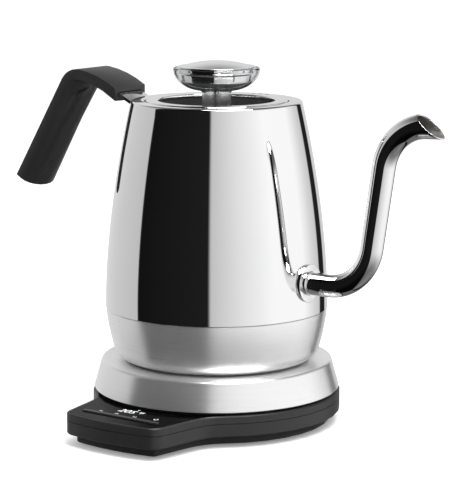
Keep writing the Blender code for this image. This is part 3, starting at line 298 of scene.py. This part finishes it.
def lathe(name, profile, steps=144, angle=32, closed=True):
    """Extrude a point along (radius, height) pairs, then spin the wire round the Z axis."""
    bpy.ops.object.select_all(action="DESELECT")
    bpy.ops.mesh.primitive_plane_add(size=0.01, location=(0, 0, 0))
    piece = bpy.context.object
    piece.name = name
    path = list(profile) + ([profile[0]] if closed else [])
    bpy.ops.object.mode_set(mode="EDIT")
    bpy.ops.mesh.merge(type="CENTER")
    bpy.ops.transform.translate(value=(path[0][0], 0, path[0][1]))
    for (r0, z0), (r1, z1) in zip(path, path[1:]):
        bpy.ops.mesh.extrude_region_move(TRANSFORM_OT_translate={"value": (r1 - r0, 0, z1 - z0)})
    bpy.ops.mesh.select_all(action="SELECT")
    bpy.ops.mesh.spin(steps=steps, angle=2 * math.pi, center=(0, 0, 0), axis=(0, 0, 1))
    return finish_edit(piece, angle)


def place(piece, body, slot, *stands_for):
    """Give a finished piece its body, its finish and the parts of the frame it stands for."""
    if piece.data.materials:
        piece.data.materials[0] = FINISHES[slot].material
    else:
        piece.data.materials.append(FINISHES[slot].material)
    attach(piece, body)
    if stands_for:
        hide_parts(*stands_for)
    print(piece.name, len(piece.data.polygons), "faces")
    return piece


def press(piece, cutter, operation="DIFFERENCE"):
    """Apply a boolean with a cutter, then remove the cutter."""
    bpy.ops.object.select_all(action="DESELECT")
    bpy.context.view_layer.objects.active = piece
    piece.select_set(True)
    modifier = piece.modifiers.new("cut", "BOOLEAN")
    modifier.operation = operation
    modifier.object = cutter
    modifier.material_mode = "TRANSFER"
    bpy.ops.object.modifier_apply(modifier=modifier.name)
    bpy.data.objects.remove(cutter, do_unlink=True)


# %% [markdown]
# ## Vessel
# The polished wall is one sheet: it rises from the seam, draws in ever faster towards the rim,
# turns over in a tight round, and drops into a stepped neck that the lid sits in. A power curve
# gives that draw. The vents in the rim and the hole for the spout are cut last. A cutter hands its
# own finish to the walls that it leaves. The vent cutters carry the dark well plastic as painted
# shade, so the vents stay dark from every side.

# %% Polished wall
SHELL_LOW, SHELL_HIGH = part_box("vessel_shell")
RING_LOW, RING_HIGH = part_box("lid_ring")
SEAM_R = SHELL_HIGH.x
RIM_R = 0.0487
RIM_Z = SHELL_HIGH.z
DRAW_POWER = 1.78
WALL = 0.0010
RIM_ROUND = 0.0016
MOUTH_R = RING_HIGH.x + 0.00015
NECK_R = 0.0385
NECK_STEP_Z = RIM_Z - 0.0035
NECK_BOTTOM_Z = RIM_Z - 0.0138


def wall_radius(z):
    share = (z - SHELL_LOW.z) / (RIM_Z - SHELL_LOW.z)
    return SEAM_R - (SEAM_R - RIM_R) * share ** DRAW_POWER


round_z = RIM_Z - RIM_ROUND
rise = levels(SHELL_LOW.z, round_z, 30)
outside = [(wall_radius(z), z) for z in rise]
rim = arc((outside[-1][0] - RIM_ROUND, round_z), RIM_ROUND, 0, 90, 8)
inside_z = levels(RIM_Z - 2.2 * WALL, SHELL_LOW.z, 12)
MOUTH_EDGE = 0.0006
neck = arc((MOUTH_R + MOUTH_EDGE, RIM_Z - MOUTH_EDGE), MOUTH_EDGE, 90, 180, 4) + [
    (MOUTH_R, NECK_STEP_Z),
    (NECK_R, NECK_STEP_Z),
    (NECK_R, NECK_BOTTOM_Z),
    (NECK_R + WALL, NECK_BOTTOM_Z),
    (NECK_R + WALL, NECK_STEP_Z - WALL),
    (MOUTH_R + WALL, NECK_STEP_Z - WALL),
    (MOUTH_R + WALL, RIM_Z - WALL),
    (wall_radius(round_z) - 2 * WALL, RIM_Z - WALL),
]
inside = [(wall_radius(z) - WALL, z) for z in inside_z]
vessel = lathe("vessel", outside + rim[1:] + neck + inside, steps=192, angle=40)
vessel.data.materials.append(polished.material)

# %% Vents and spout hole
VENT_R = 0.0434
VENT_SIZE = (0.0024, 0.0014, 0.0060)
VENT_PITCH = 0.0050
SPOUT_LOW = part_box("spout_tube")[0]
COLLAR_LOW, COLLAR_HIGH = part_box("spout_collar")
SPOUT_Z = (COLLAR_LOW.z + COLLAR_HIGH.z) / 2
ROOT_R = 0.0064
for side in (-1, 1):
    for step in (-1, 0, 1):
        across = step * VENT_PITCH
        spot = (across, side * math.sqrt(VENT_R ** 2 - across ** 2), RIM_Z)
        bpy.ops.mesh.primitive_cube_add(size=1, location=spot, scale=VENT_SIZE)
        # The vent walls take this dark finish as painted shade, standing in for the shade inside the slots.
        bpy.context.object.data.materials.append(well_and_vent_shade.material)
        press(vessel, bpy.context.object)
bpy.ops.mesh.primitive_cylinder_add(
    radius=ROOT_R, depth=0.02, vertices=48, location=(SEAM_R, 0, SPOUT_Z), rotation=(0, math.pi / 2, 0)
)
press(vessel, bpy.context.object)
bpy.ops.object.shade_smooth_by_angle(angle=math.radians(40))
place(vessel, "kettle", "polished_steel", "vessel_shell")

# %% [markdown]
# ## Brushed band
# Under the seam the body goes on in a heavier, brushed ring. It draws in slightly, then turns
# under in a large round corner that leaves a dark gap above the base. The maker's name would
# stand here, and the band is left bare.

# %% Lower band
BAND_LOW, BAND_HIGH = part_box("lower_band")
BAND_TOP_R = BAND_HIGH.x
BAND_DRAW = 0.0043
BAND_CORNER_R = 0.0088
BAND_CORNER_Z = 0.0420
BAND_WALL = 0.0012
BAND_LEDGE = 0.0055
BAND_LIP_R = 0.0490
LIP_THICK = 0.0024
SEAM_ROUND = 0.0003


def band_radius(z):
    return BAND_TOP_R - BAND_DRAW * ((BAND_HIGH.z - z) / (BAND_HIGH.z - BAND_CORNER_Z)) ** 1.5


lean = math.degrees(math.atan(1.5 * BAND_DRAW / (BAND_HIGH.z - BAND_CORNER_Z)))
corner = (
    band_radius(BAND_CORNER_Z) - BAND_CORNER_R * math.cos(math.radians(lean)),
    BAND_LOW.z + BAND_CORNER_R,
)
band_z = levels(BAND_HIGH.z - SEAM_ROUND, BAND_CORNER_Z, 12)
band_profile = [(BAND_TOP_R - BAND_LEDGE, BAND_HIGH.z), (BAND_TOP_R - SEAM_ROUND, BAND_HIGH.z)]
band_profile += [(band_radius(z), z) for z in band_z]
band_profile += arc(corner, BAND_CORNER_R, -lean, -90, 14)[1:]
band_profile += [
    (BAND_LIP_R, BAND_LOW.z),
    (BAND_LIP_R, BAND_LOW.z + LIP_THICK),
    (corner[0], BAND_LOW.z + LIP_THICK),
    (band_radius(BAND_CORNER_Z) - BAND_WALL, BAND_CORNER_Z + BAND_WALL),
    (BAND_TOP_R - 2 * BAND_WALL, BAND_HIGH.z - BAND_WALL),
    (BAND_TOP_R - BAND_LEDGE, BAND_HIGH.z - BAND_WALL),
]
place(lathe("band", band_profile, steps=192), "kettle", "brushed_steel", "lower_band")

# %% [markdown]
# ## Base ring
# The kettle stands on a low brushed cone. Its top edge is rolled, and that roll catches a bright
# line all the way round, which is what separates the ring from the dark gap above it.

# %% Ring
STAND_LOW, STAND_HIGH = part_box("base_ring")
STAND_TOP_R = 0.0668
SHOULDER_R = 0.0020
STAND_WALL = 0.0012
HOLE_R = 0.0245
slant = math.degrees(math.atan2(STAND_HIGH.x - STAND_TOP_R, STAND_HIGH.z - STAND_LOW.z))
shoulder = arc((STAND_TOP_R - SHOULDER_R, STAND_HIGH.z - SHOULDER_R), SHOULDER_R, 90, slant, 10)
stand_profile = [(HOLE_R, STAND_HIGH.z)] + shoulder + [
    (STAND_HIGH.x, STAND_LOW.z + 0.0004),
    (STAND_HIGH.x - 0.0004, STAND_LOW.z),
    (STAND_HIGH.x - STAND_WALL, STAND_LOW.z),
    (STAND_TOP_R - STAND_WALL, STAND_HIGH.z - STAND_WALL),
    (HOLE_R, STAND_HIGH.z - STAND_WALL),
]
place(lathe("stand_ring", stand_profile, steps=192), "base", "brushed_steel", "base_ring")

# %% [markdown]
# ## Lid
# A polished flat ring drops into the mouth, and a dark plastic well sinks inside it. The well's
# floor meets its wall in a soft round. Its depth is what makes the knob seem to float.

# %% Lid ring and well
WELL_LOW, WELL_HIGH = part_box("lid_body")
WELL_R = 0.0333
WELL_FLOOR_Z = RIM_Z - 0.0112
WELL_WALL = 0.0016
LID_EDGE = 0.0006
SEAM = 0.0005
ring_profile = arc((RING_HIGH.x - SEAM - LID_EDGE, RING_HIGH.z - LID_EDGE), LID_EDGE, 90, 0, 4)
ring_profile += [(RING_HIGH.x - SEAM, RING_LOW.z), (WELL_R, RING_LOW.z)]
ring_profile += arc((WELL_R + LID_EDGE, RING_HIGH.z - LID_EDGE), LID_EDGE, 180, 90, 4)
lid_top = lathe("lid_top", ring_profile, steps=160)
place(lid_top, "lid", "polished_steel", "lid_ring")

shaft = 0.0017
floor_round = arc((WELL_R - WELL_WALL, WELL_FLOOR_Z + WELL_WALL), WELL_WALL, -90, 0, 6)
well_profile = [(shaft, WELL_FLOOR_Z)] + floor_round + [
    (WELL_R, WELL_HIGH.z),
    (WELL_HIGH.x, WELL_HIGH.z),
    (WELL_HIGH.x, NECK_STEP_Z + 0.0002),
    (WELL_R + WELL_WALL, NECK_STEP_Z + 0.0002),
    (WELL_R + WELL_WALL, WELL_FLOOR_Z),
    (WELL_R + 2 * WELL_WALL, WELL_FLOOR_Z),
    (WELL_R + 2 * WELL_WALL, WELL_LOW.z),
    (shaft, WELL_LOW.z),
]
place(lathe("lid_well", well_profile, steps=128), "lid", "well_plastic", "lid_body")

# %% [markdown]
# ## Knob
# The knob is three parts. A clear moulding makes the bowl and the stem, so the stem looks like a
# thick glass rod. A chrome insert lies in the bowl with two bright bands round it, and a domed
# chrome cap closes the top. Clear plastic needs both of its surfaces, so it stays a closed solid.

# %% Clear bowl and stem
BOWL_LOW, BOWL_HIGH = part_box("knob_bowl")
KNOB_TOP = BOWL_HIGH.z
KNOB_R = BOWL_HIGH.x
STEM_R = 0.0082
BOWL_DEPTH = 0.0120
BOWL_WALL = 0.0012
BOWL_LIP = 0.0008


def bowl_curve(grow, start, end, count):
    """Part of the bowl's quarter ellipse, angles in degrees."""
    turned = arc((0, 0), 1.0, start, end, count)
    return [
        (STEM_R + (KNOB_R - STEM_R + grow) * x, KNOB_TOP - BOWL_LIP + (BOWL_DEPTH + grow) * y)
        for x, y in turned
    ]


outer = bowl_curve(0.0, 0, -86, 22)
inner = bowl_curve(-BOWL_WALL, -90, 0, 22)
bowl_profile = [(inner[-1][0], KNOB_TOP), (outer[0][0] - 0.0003, KNOB_TOP)] + outer
bowl_profile += [
    (STEM_R, outer[-1][1] - 0.0012),
    (STEM_R, BOWL_LOW.z),
    (shaft, BOWL_LOW.z),
    (shaft, inner[0][1]),
]
bowl_profile += inner
place(lathe("knob_clear", bowl_profile, steps=128), "lid", "clear_plastic", "knob_bowl")

# %% Chrome insert and cap
INSERT_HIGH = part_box("knob_insert")[1]
CAP_LOW, CAP_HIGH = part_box("knob_cap")
BAND_R = 0.0212
GAP = 0.0004
belly = bowl_curve(-BOWL_WALL - GAP, -38, -90, 14)
insert_profile = [(shaft, INSERT_HIGH.z), (BAND_R + 0.0003, INSERT_HIGH.z)]
insert_profile += arc((BAND_R, INSERT_HIGH.z - 0.0005), 0.0005, 60, -60, 6)
insert_profile += [(BAND_R - 0.0004, INSERT_HIGH.z - 0.0014)]
insert_profile += arc((BAND_R - 0.0004, INSERT_HIGH.z - 0.0024), 0.0006, 70, -70, 6)
insert_profile += [(BAND_R - 0.0010, INSERT_HIGH.z - 0.0036), (BAND_R - 0.0012, belly[0][1] + 0.0006)]
insert_profile += belly + [(shaft, belly[-1][1]), (shaft, INSERT_HIGH.z - 0.0034)]
place(lathe("knob_bands", insert_profile, steps=128), "lid", "polished_steel", "knob_insert")

CAP_RIM = 0.0005
DOME_R = CAP_HIGH.x - 0.0018
dome_rise = CAP_HIGH.z - CAP_LOW.z - CAP_RIM
sphere = (DOME_R ** 2 + dome_rise ** 2) / (2 * dome_rise)
edge = math.degrees(math.asin(DOME_R / sphere))
dome = arc((0, CAP_HIGH.z - sphere), sphere, 90, 90 - edge, 20)
cap_profile = [(0, CAP_HIGH.z)] + dome[1:] + arc((CAP_HIGH.x - 0.0003, CAP_LOW.z + 0.0003), 0.0003, 90, -90, 6)
cap_profile += [(0, CAP_LOW.z)]
place(lathe("knob_dome", cap_profile, steps=128, closed=False), "lid", "polished_steel", "knob_cap")

# %% [markdown]
# ## Spout
# The gooseneck is one bent tube: out of the wall, up through a round bend, a long leaning riser,
# and a second bend to a mouth that is cut on a slant. A circle is extruded from station to
# station, turned and widened a little each time. The slant is a bisect, and a Solidify modifier
# then gives the wall, so the lip shows its real thickness. The bore gets a duller finish than the
# polished outside, because nobody polishes the inside of a tube.

# %% Stations along the spout
LEAN = 8.8
TIP_TILT = 3.0
BEND_R = 0.0280
REACH = 0.1012
RISE = 0.0920
TIP_R = 0.0070
TUBE_WALL = 0.0008
MOUTH_X = 0.1405
MOUTH_TILT = 40.0


def walk(start, heading, moves):
    """Points and headings along straight and curved stretches. Angles in degrees."""
    x, z = start
    stations = [(x, z, heading)]
    for length, turned, steps in moves:
        for _ in range(steps):
            turn_by = turned / steps
            middle = math.radians(heading + turn_by / 2)
            half = math.radians(abs(turn_by)) / 2
            stride = length / steps * (math.sin(half) / half if half else 1.0)
            x += stride * math.cos(middle)
            z += stride * math.sin(middle)
            heading += turn_by
            stations.append((x, z, heading))
    return stations


up = 90.0 - LEAN
down = up - TIP_TILT
first = BEND_R * math.tan(math.radians(up / 2))
second = BEND_R * math.tan(math.radians(down / 2))
spout_start = SPOUT_LOW.x
riser = RISE / math.cos(math.radians(LEAN)) - first - second
stations = walk((spout_start, SPOUT_Z), 0.0, (
    (REACH - first - spout_start, 0.0, 3),
    (BEND_R * math.radians(up), up, 24),
    (riser, 0.0, 10),
    (BEND_R * math.radians(down), -down, 24),
    (0.012, 0.0, 3),
))
print("the spout has", len(stations), "stations and ends at", [round(v, 4) for v in stations[-1][:2]])


# %% Bent tube
def sweep(name, path, radii, vertices=48):
    """Extrude a circle along stations in the XZ plane, turning and scaling it on the way."""
    bpy.ops.object.select_all(action="DESELECT")
    bpy.ops.mesh.primitive_circle_add(vertices=vertices, radius=radii[0], location=(0, 0, 0))
    piece = bpy.context.object
    piece.name = name
    x, z, heading = path[0]
    bpy.ops.object.mode_set(mode="EDIT")
    bpy.ops.mesh.select_all(action="SELECT")
    spin = math.radians(90 - heading)
    bpy.ops.transform.rotate(value=-spin, orient_axis="Y", center_override=(0, 0, 0))
    bpy.ops.transform.translate(value=(x, 0, z))
    for (x0, z0, h0), (x1, z1, h1), r0, r1 in zip(path, path[1:], radii, radii[1:]):
        move = (x1 - x0, 0, z1 - z0)
        bpy.ops.mesh.extrude_region_move(TRANSFORM_OT_translate={"value": move})
        bpy.ops.transform.rotate(
            value=math.radians(h1 - h0), orient_axis="Y", center_override=(x1, 0, z1)
        )
        bpy.ops.transform.resize(value=(r1 / r0,) * 3, center_override=(x1, 0, z1))
    bpy.ops.object.mode_set(mode="OBJECT")
    return piece


count = len(stations) - 1
radii = [ROOT_R + (TIP_R - ROOT_R) * (i / count) ** 3 for i in range(count + 1)]
spout = sweep("spout", stations, radii)
before, after = [p for p in zip(stations, stations[1:]) if p[1][0] > MOUTH_X][0]
mouth_z = before[1] + (MOUTH_X - before[0]) / (after[0] - before[0]) * (after[1] - before[1])
slant = math.radians(MOUTH_TILT)
bpy.ops.object.mode_set(mode="EDIT")
bpy.ops.mesh.select_all(action="SELECT")
bpy.ops.mesh.bisect(
    plane_co=(MOUTH_X, 0, mouth_z),
    plane_no=(math.sin(slant), 0, math.cos(slant)),
    clear_outer=True,
)
finish_edit(spout, 60)
for finish in (polished, element):
    spout.data.materials.append(finish.material)
wall = spout.modifiers.new("wall", "SOLIDIFY")
wall.thickness = TUBE_WALL
wall.offset = -1.0
wall.material_offset = 1
bpy.ops.object.modifier_apply(modifier="wall")
lip = spout.modifiers.new("lip", "BEVEL")
lip.width = 0.00018
lip.segments = 2
lip.limit_method = "ANGLE"
lip.angle_limit = math.radians(50)
bpy.ops.object.modifier_apply(modifier="lip")
bpy.ops.object.shade_smooth_by_angle(angle=math.radians(50))
place(spout, "kettle", "polished_steel", "spout_tube")

# %% [markdown]
# ## Parts refined from the frame
# Some parts have the right shape already but come as loose, flat-shaded triangles: the handle,
# its strap, the collar and the housing's two halves. Each is copied and its points are merged. The
# handle, strap and collar get a small bevel on their edges that catches light, and then each is
# shaded smooth.

# %% Refine
def refine(name, node, body, slot, bevel, angle=38):
    """A merged, softened copy of a part of the frame."""
    bpy.ops.object.select_all(action="DESELECT")
    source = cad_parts[node]
    piece = source.copy()
    piece.data = source.data.copy()
    piece.name = name
    piece.parent = None
    for key in list(piece.keys()):
        del piece[key]
    bpy.context.scene.collection.objects.link(piece)
    bpy.context.view_layer.objects.active = piece
    piece.select_set(True)
    bpy.ops.object.mode_set(mode="EDIT")
    bpy.ops.mesh.select_all(action="SELECT")
    bpy.ops.mesh.remove_doubles(threshold=0.000004)
    bpy.ops.mesh.dissolve_limited(angle_limit=math.radians(0.4))
    bpy.ops.object.mode_set(mode="OBJECT")
    if bevel:
        edges = piece.modifiers.new("edges", "BEVEL")
        edges.width = bevel
        edges.segments = 3
        edges.limit_method = "ANGLE"
        edges.angle_limit = math.radians(angle)
        bpy.ops.object.modifier_apply(modifier="edges")
    bpy.ops.object.shade_smooth_by_angle(angle=math.radians(angle))
    return place(piece, body, slot, node)


grip = refine("grip", "handle_grip", "kettle", "handle_plastic", 0.0007)
refine("strap", "handle_strap", "kettle", "polished_steel", 0.0002)
refine("collar", "spout_collar", "kettle", "polished_steel", 0.0002, 30)
refine("housing_top", "base_cover", "base", "housing_plastic", 0.0)
refine("housing_tray", "base_tray", "base", "housing_plastic", 0.0)

# %% [markdown]
# ## Knee of the handle
# Inside the knee the moulding's cross-sections crowd together and would shade as a crease. A few
# passes of smoothing, on that spot alone, turn it into the soft hollow that a mould leaves.

# %% Soften the inner knee
KNEE = Vector((-0.0925, 0.0, 0.1815))
KNEE_REACH = 0.0085
bpy.ops.object.select_all(action="DESELECT")
bpy.context.view_layer.objects.active = grip
grip.select_set(True)
bpy.ops.object.mode_set(mode="EDIT")
bpy.ops.mesh.select_mode(type="VERT")
bpy.ops.mesh.select_all(action="DESELECT")
bpy.ops.object.mode_set(mode="OBJECT")
for vertex in grip.data.vertices:
    vertex.select = math.hypot(vertex.co.x - KNEE.x, vertex.co.z - KNEE.z) < KNEE_REACH
bpy.ops.object.mode_set(mode="EDIT")
bpy.ops.mesh.vertices_smooth(factor=0.5, repeat=10, xaxis=True, yaxis=False, zaxis=True)
bpy.ops.object.mode_set(mode="OBJECT")
print("the grip has", len(grip.data.vertices), "points")

# %% [markdown]
# ## Marks on the panel
# The panel is black glass with lit marks under it: the set temperature, a few numbers along the
# slider, a small ring above them and the power sign. Text is the simplest way to draw digits.
# Each is made a mesh at once, so it exports as the frame does, and lies a hair above the glass.

# %% Lit marks
MARK_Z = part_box("panel_glass")[1].z + 0.00003
MARK_THICK = 0.00003
lit = Finish("lit_mark", Roughness=0.4, Emission_Strength=0.8)
glow = lit.noise(700.0)
lit.feed("Base Color", lit.between(glow, (0.70, 0.72, 0.74), (0.85, 0.86, 0.88)))
lit.feed("Emission Color", lit.between(glow, (0.62, 0.65, 0.68), (0.85, 0.87, 0.90)))


def on_panel(piece, name):
    """Give a finished mark its name, its finish and its body."""
    piece.name = name
    piece.data.materials.clear()
    piece.data.materials.append(lit.material)
    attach(piece, "base")
    return piece


def mark_text(name, words, x, y, height, lean=0.0):
    """Text standing upright for someone in front of the panel, middle at x, y."""
    bpy.ops.object.select_all(action="DESELECT")
    bpy.ops.object.text_add(location=(x, y, MARK_Z))
    text = bpy.context.object
    text.data.body = words
    text.data.size = height / 0.7
    text.data.shear = lean
    text.data.align_x = "CENTER"
    text.data.align_y = "CENTER"
    text.data.extrude = MARK_THICK / 2
    bpy.ops.object.convert(target="MESH")
    bpy.ops.object.transform_apply(location=True, rotation=True, scale=True)
    return on_panel(bpy.context.object, name)


mark_text("mark_reading", "205", -0.0048, -0.0776, 0.0052, 0.15)
mark_text("mark_unit", "°F", 0.0038, -0.0769, 0.0034, 0.15)
mark_text("mark_low", "140", -0.0176, -0.0850, 0.0012)
mark_text("mark_mid", "175", -0.0066, -0.0850, 0.0012)
mark_text("mark_high", "212", 0.0061, -0.0850, 0.0012)


# %% Power sign and ticks
def mark_ring(name, x, y, radius, width, opening):
    """An open ring made from points on a circle, widened inward and given thickness by extruding."""
    bpy.ops.object.select_all(action="DESELECT")
    bpy.ops.mesh.primitive_circle_add(vertices=40, radius=radius, location=(0, 0, 0))
    piece = bpy.context.object
    gap = math.radians(opening / 2)
    for vertex in piece.data.vertices:
        vertex.select = abs(math.atan2(vertex.co.x, vertex.co.y)) < gap
    for edge in piece.data.edges:
        edge.select = all(piece.data.vertices[i].select for i in edge.vertices)
    bpy.ops.object.mode_set(mode="EDIT")
    bpy.ops.mesh.select_mode(type="VERT")
    bpy.ops.mesh.delete(type="VERT")
    bpy.ops.mesh.select_all(action="SELECT")
    bpy.ops.mesh.extrude_region_move(TRANSFORM_OT_translate={"value": (0, 0, 0)})
    bpy.ops.transform.resize(value=((radius - width) / radius,) * 2 + (1,), center_override=(0, 0, 0))
    bpy.ops.mesh.select_all(action="SELECT")
    bpy.ops.mesh.extrude_region_move(TRANSFORM_OT_translate={"value": (0, 0, MARK_THICK)})
    bpy.ops.mesh.select_all(action="SELECT")
    bpy.ops.transform.translate(value=(x, y, MARK_Z))
    bpy.ops.mesh.normals_make_consistent(inside=False)
    bpy.ops.object.mode_set(mode="OBJECT")
    return on_panel(piece, name)


def mark_bar(name, x, y, width, length):
    """A short flat bar with its far end narrowed a little, like a printed tick."""
    bpy.ops.object.select_all(action="DESELECT")
    bpy.ops.mesh.primitive_cube_add(size=1, location=(0, 0, 0))
    piece = bpy.context.object
    for face in piece.data.polygons:
        face.select = face.normal.y > 0.9
    bpy.ops.object.mode_set(mode="EDIT")
    bpy.ops.mesh.select_mode(type="FACE")
    bpy.ops.object.mode_set(mode="OBJECT")
    for face in piece.data.polygons:
        face.select = face.normal.y > 0.9
    bpy.ops.object.mode_set(mode="EDIT")
    bpy.ops.transform.resize(value=(0.8, 1, 1))
    bpy.ops.mesh.select_all(action="SELECT")
    bpy.ops.transform.resize(value=(width, length, MARK_THICK), center_override=(0, 0, 0))
    bpy.ops.transform.translate(value=(x, y, MARK_Z + MARK_THICK / 2))
    bpy.ops.object.mode_set(mode="OBJECT")
    return on_panel(piece, name)


mark_ring("mark_power", 0.0192, -0.0826, 0.0014, 0.0003, 80)
mark_bar("mark_power_bar", 0.0192, -0.0815, 0.0003, 0.0014)
mark_ring("mark_ready", -0.0006, -0.0722, 0.0007, 0.0003, 4)
for number, tick_x in enumerate((-0.0176, -0.0066, 0.0061), 1):
    mark_bar(f"mark_tick_{number}", tick_x, -0.0871, 0.00022, 0.0010)

# %% [markdown]
# ## Studio
# The kettle stands on a white floor in a white room. A mirror shows the room and not itself, so
# the room has what a studio puts there: white all round, greyer to one side, and tall
# black flags that draw dark edges on the steel. Flags could be real boards. Here they are part
# of the world, seen by glossy rays only, so they throw no shade on the floor.

# %% World with flags for the mirror
def grey(level):
    return (level, level, level, 1.0)


ROOM = (
    (-180.0, 0.60),
    (-146.0, 0.53),
    (-143.0, 0.53),
    (-142.0, 0.006),
    (-62.5, 0.012),
    (-60.0, 0.54),
    (-30.0, 0.76),
    (8.0, 0.98),
    (48.0, 0.97),
    (66.0, 0.70),
    (79.0, 0.58),
    (80.5, 0.015),
    (95.0, 0.015),
    (97.0, 0.62),
    (140.0, 0.72),
    (180.0, 0.60),
)
world = bpy.data.worlds.new("studio")
bpy.context.scene.world = world
world.use_nodes = True
sky = world.node_tree
sky.nodes.clear()


def sky_node(kind, **settings):
    made = sky.nodes.new(kind)
    for key, value in settings.items():
        setattr(made, key, value)
    return made


direction = sky_node("ShaderNodeTexCoord")
turn = sky_node("ShaderNodeTexGradient", gradient_type="RADIAL")
ramp = sky_node("ShaderNodeValToRGB")
stops = ramp.color_ramp.elements
while len(stops) < len(ROOM):
    stops.new(1.0)
for stop, (degrees, level) in zip(stops, ROOM):
    stop.position = degrees / 360.0 + 0.5
    stop.color = grey(level)
rays = sky_node("ShaderNodeLightPath")
heights = sky_node("ShaderNodeSeparateXYZ")
steepness = sky_node("ShaderNodeMath", operation="ABSOLUTE")
overhead = sky_node("ShaderNodeMapRange", interpolation_type="SMOOTHSTEP")
for name, value in (("From Min", 0.30), ("From Max", 0.80), ("To Min", 1.0), ("To Max", 0.20)):
    overhead.inputs[name].default_value = value
seen_in_shine = sky_node("ShaderNodeMath", operation="MAXIMUM")
mirror_room = sky_node("ShaderNodeBackground")
plain_room = sky_node("ShaderNodeBackground")
plain_room.inputs["Color"].default_value = grey(1.0)
plain_room.inputs["Strength"].default_value = 0.85
white_room = sky_node("ShaderNodeBackground")
white_room.inputs["Color"].default_value = grey(1.0)
by_gloss = sky_node("ShaderNodeMixShader")
by_camera = sky_node("ShaderNodeMixShader")
out = sky_node("ShaderNodeOutputWorld")
for source, target in (
    (direction.outputs["Generated"], turn.inputs["Vector"]),
    (turn.outputs["Fac"], ramp.inputs["Fac"]),
    (ramp.outputs["Color"], mirror_room.inputs["Color"]),
    (direction.outputs["Generated"], heights.inputs[0]),
    (heights.outputs["Z"], steepness.inputs[0]),
    (steepness.outputs[0], overhead.inputs["Value"]),
    (overhead.outputs["Result"], mirror_room.inputs["Strength"]),
    (rays.outputs["Is Glossy Ray"], seen_in_shine.inputs[0]),
    (rays.outputs["Is Transmission Ray"], seen_in_shine.inputs[1]),
    (seen_in_shine.outputs[0], by_gloss.inputs[0]),
    (plain_room.outputs[0], by_gloss.inputs[1]),
    (mirror_room.outputs[0], by_gloss.inputs[2]),
    (rays.outputs["Is Camera Ray"], by_camera.inputs[0]),
    (by_gloss.outputs[0], by_camera.inputs[1]),
    (white_room.outputs[0], by_camera.inputs[2]),
    (by_camera.outputs[0], out.inputs["Surface"]),
):
    sky.links.new(source, target)
print("the room has", len(ROOM), "stops")

# %% Floor and lamp
FLOOR_Z = cad_low.z
FLOOR_SIZE = 14.0
bpy.ops.object.select_all(action="DESELECT")
bpy.ops.mesh.primitive_plane_add(size=FLOOR_SIZE, location=(0, 0, FLOOR_Z))
floor = bpy.context.object
floor.name = "floor"
paper = Finish("white_paper", Roughness=0.9, Specular_IOR_Level=0.0)
paper.feed("Base Color", paper.between(paper.noise(3.0), (0.93, 0.93, 0.93), (0.95, 0.95, 0.95)))
camera_ray = paper.node("ShaderNodeLightPath")
white_glow = paper.node("ShaderNodeMix", {"data_type": "RGBA"}, {0: camera_ray, 6: grey(0.0), 7: grey(1.0)}, 2)
paper.feed("Emission Color", white_glow)
paper.shader.inputs["Emission Strength"].default_value = 0.22
floor.data.materials.append(paper.material)
floor.visible_glossy = False
floor.visible_transmission = False

LAMP_AT = Vector((0.5, -0.2, 1.3))
LAMP_SIZE = 0.9
LAMP_POWER = 18.0
lamp_data = bpy.data.lights.new("softbox", "AREA")
lamp_data.shape = "SQUARE"
lamp_data.size = LAMP_SIZE
lamp_data.energy = LAMP_POWER
lamp = bpy.data.objects.new("softbox", lamp_data)
lamp.location = LAMP_AT
lamp.rotation_euler = (LOOK_AT - LAMP_AT).to_track_quat("-Z", "Y").to_euler()
bpy.context.scene.collection.objects.link(lamp)
bpy.context.scene.view_settings.view_transform = "Standard"
print("floor at", round(FLOOR_Z, 4), "m")
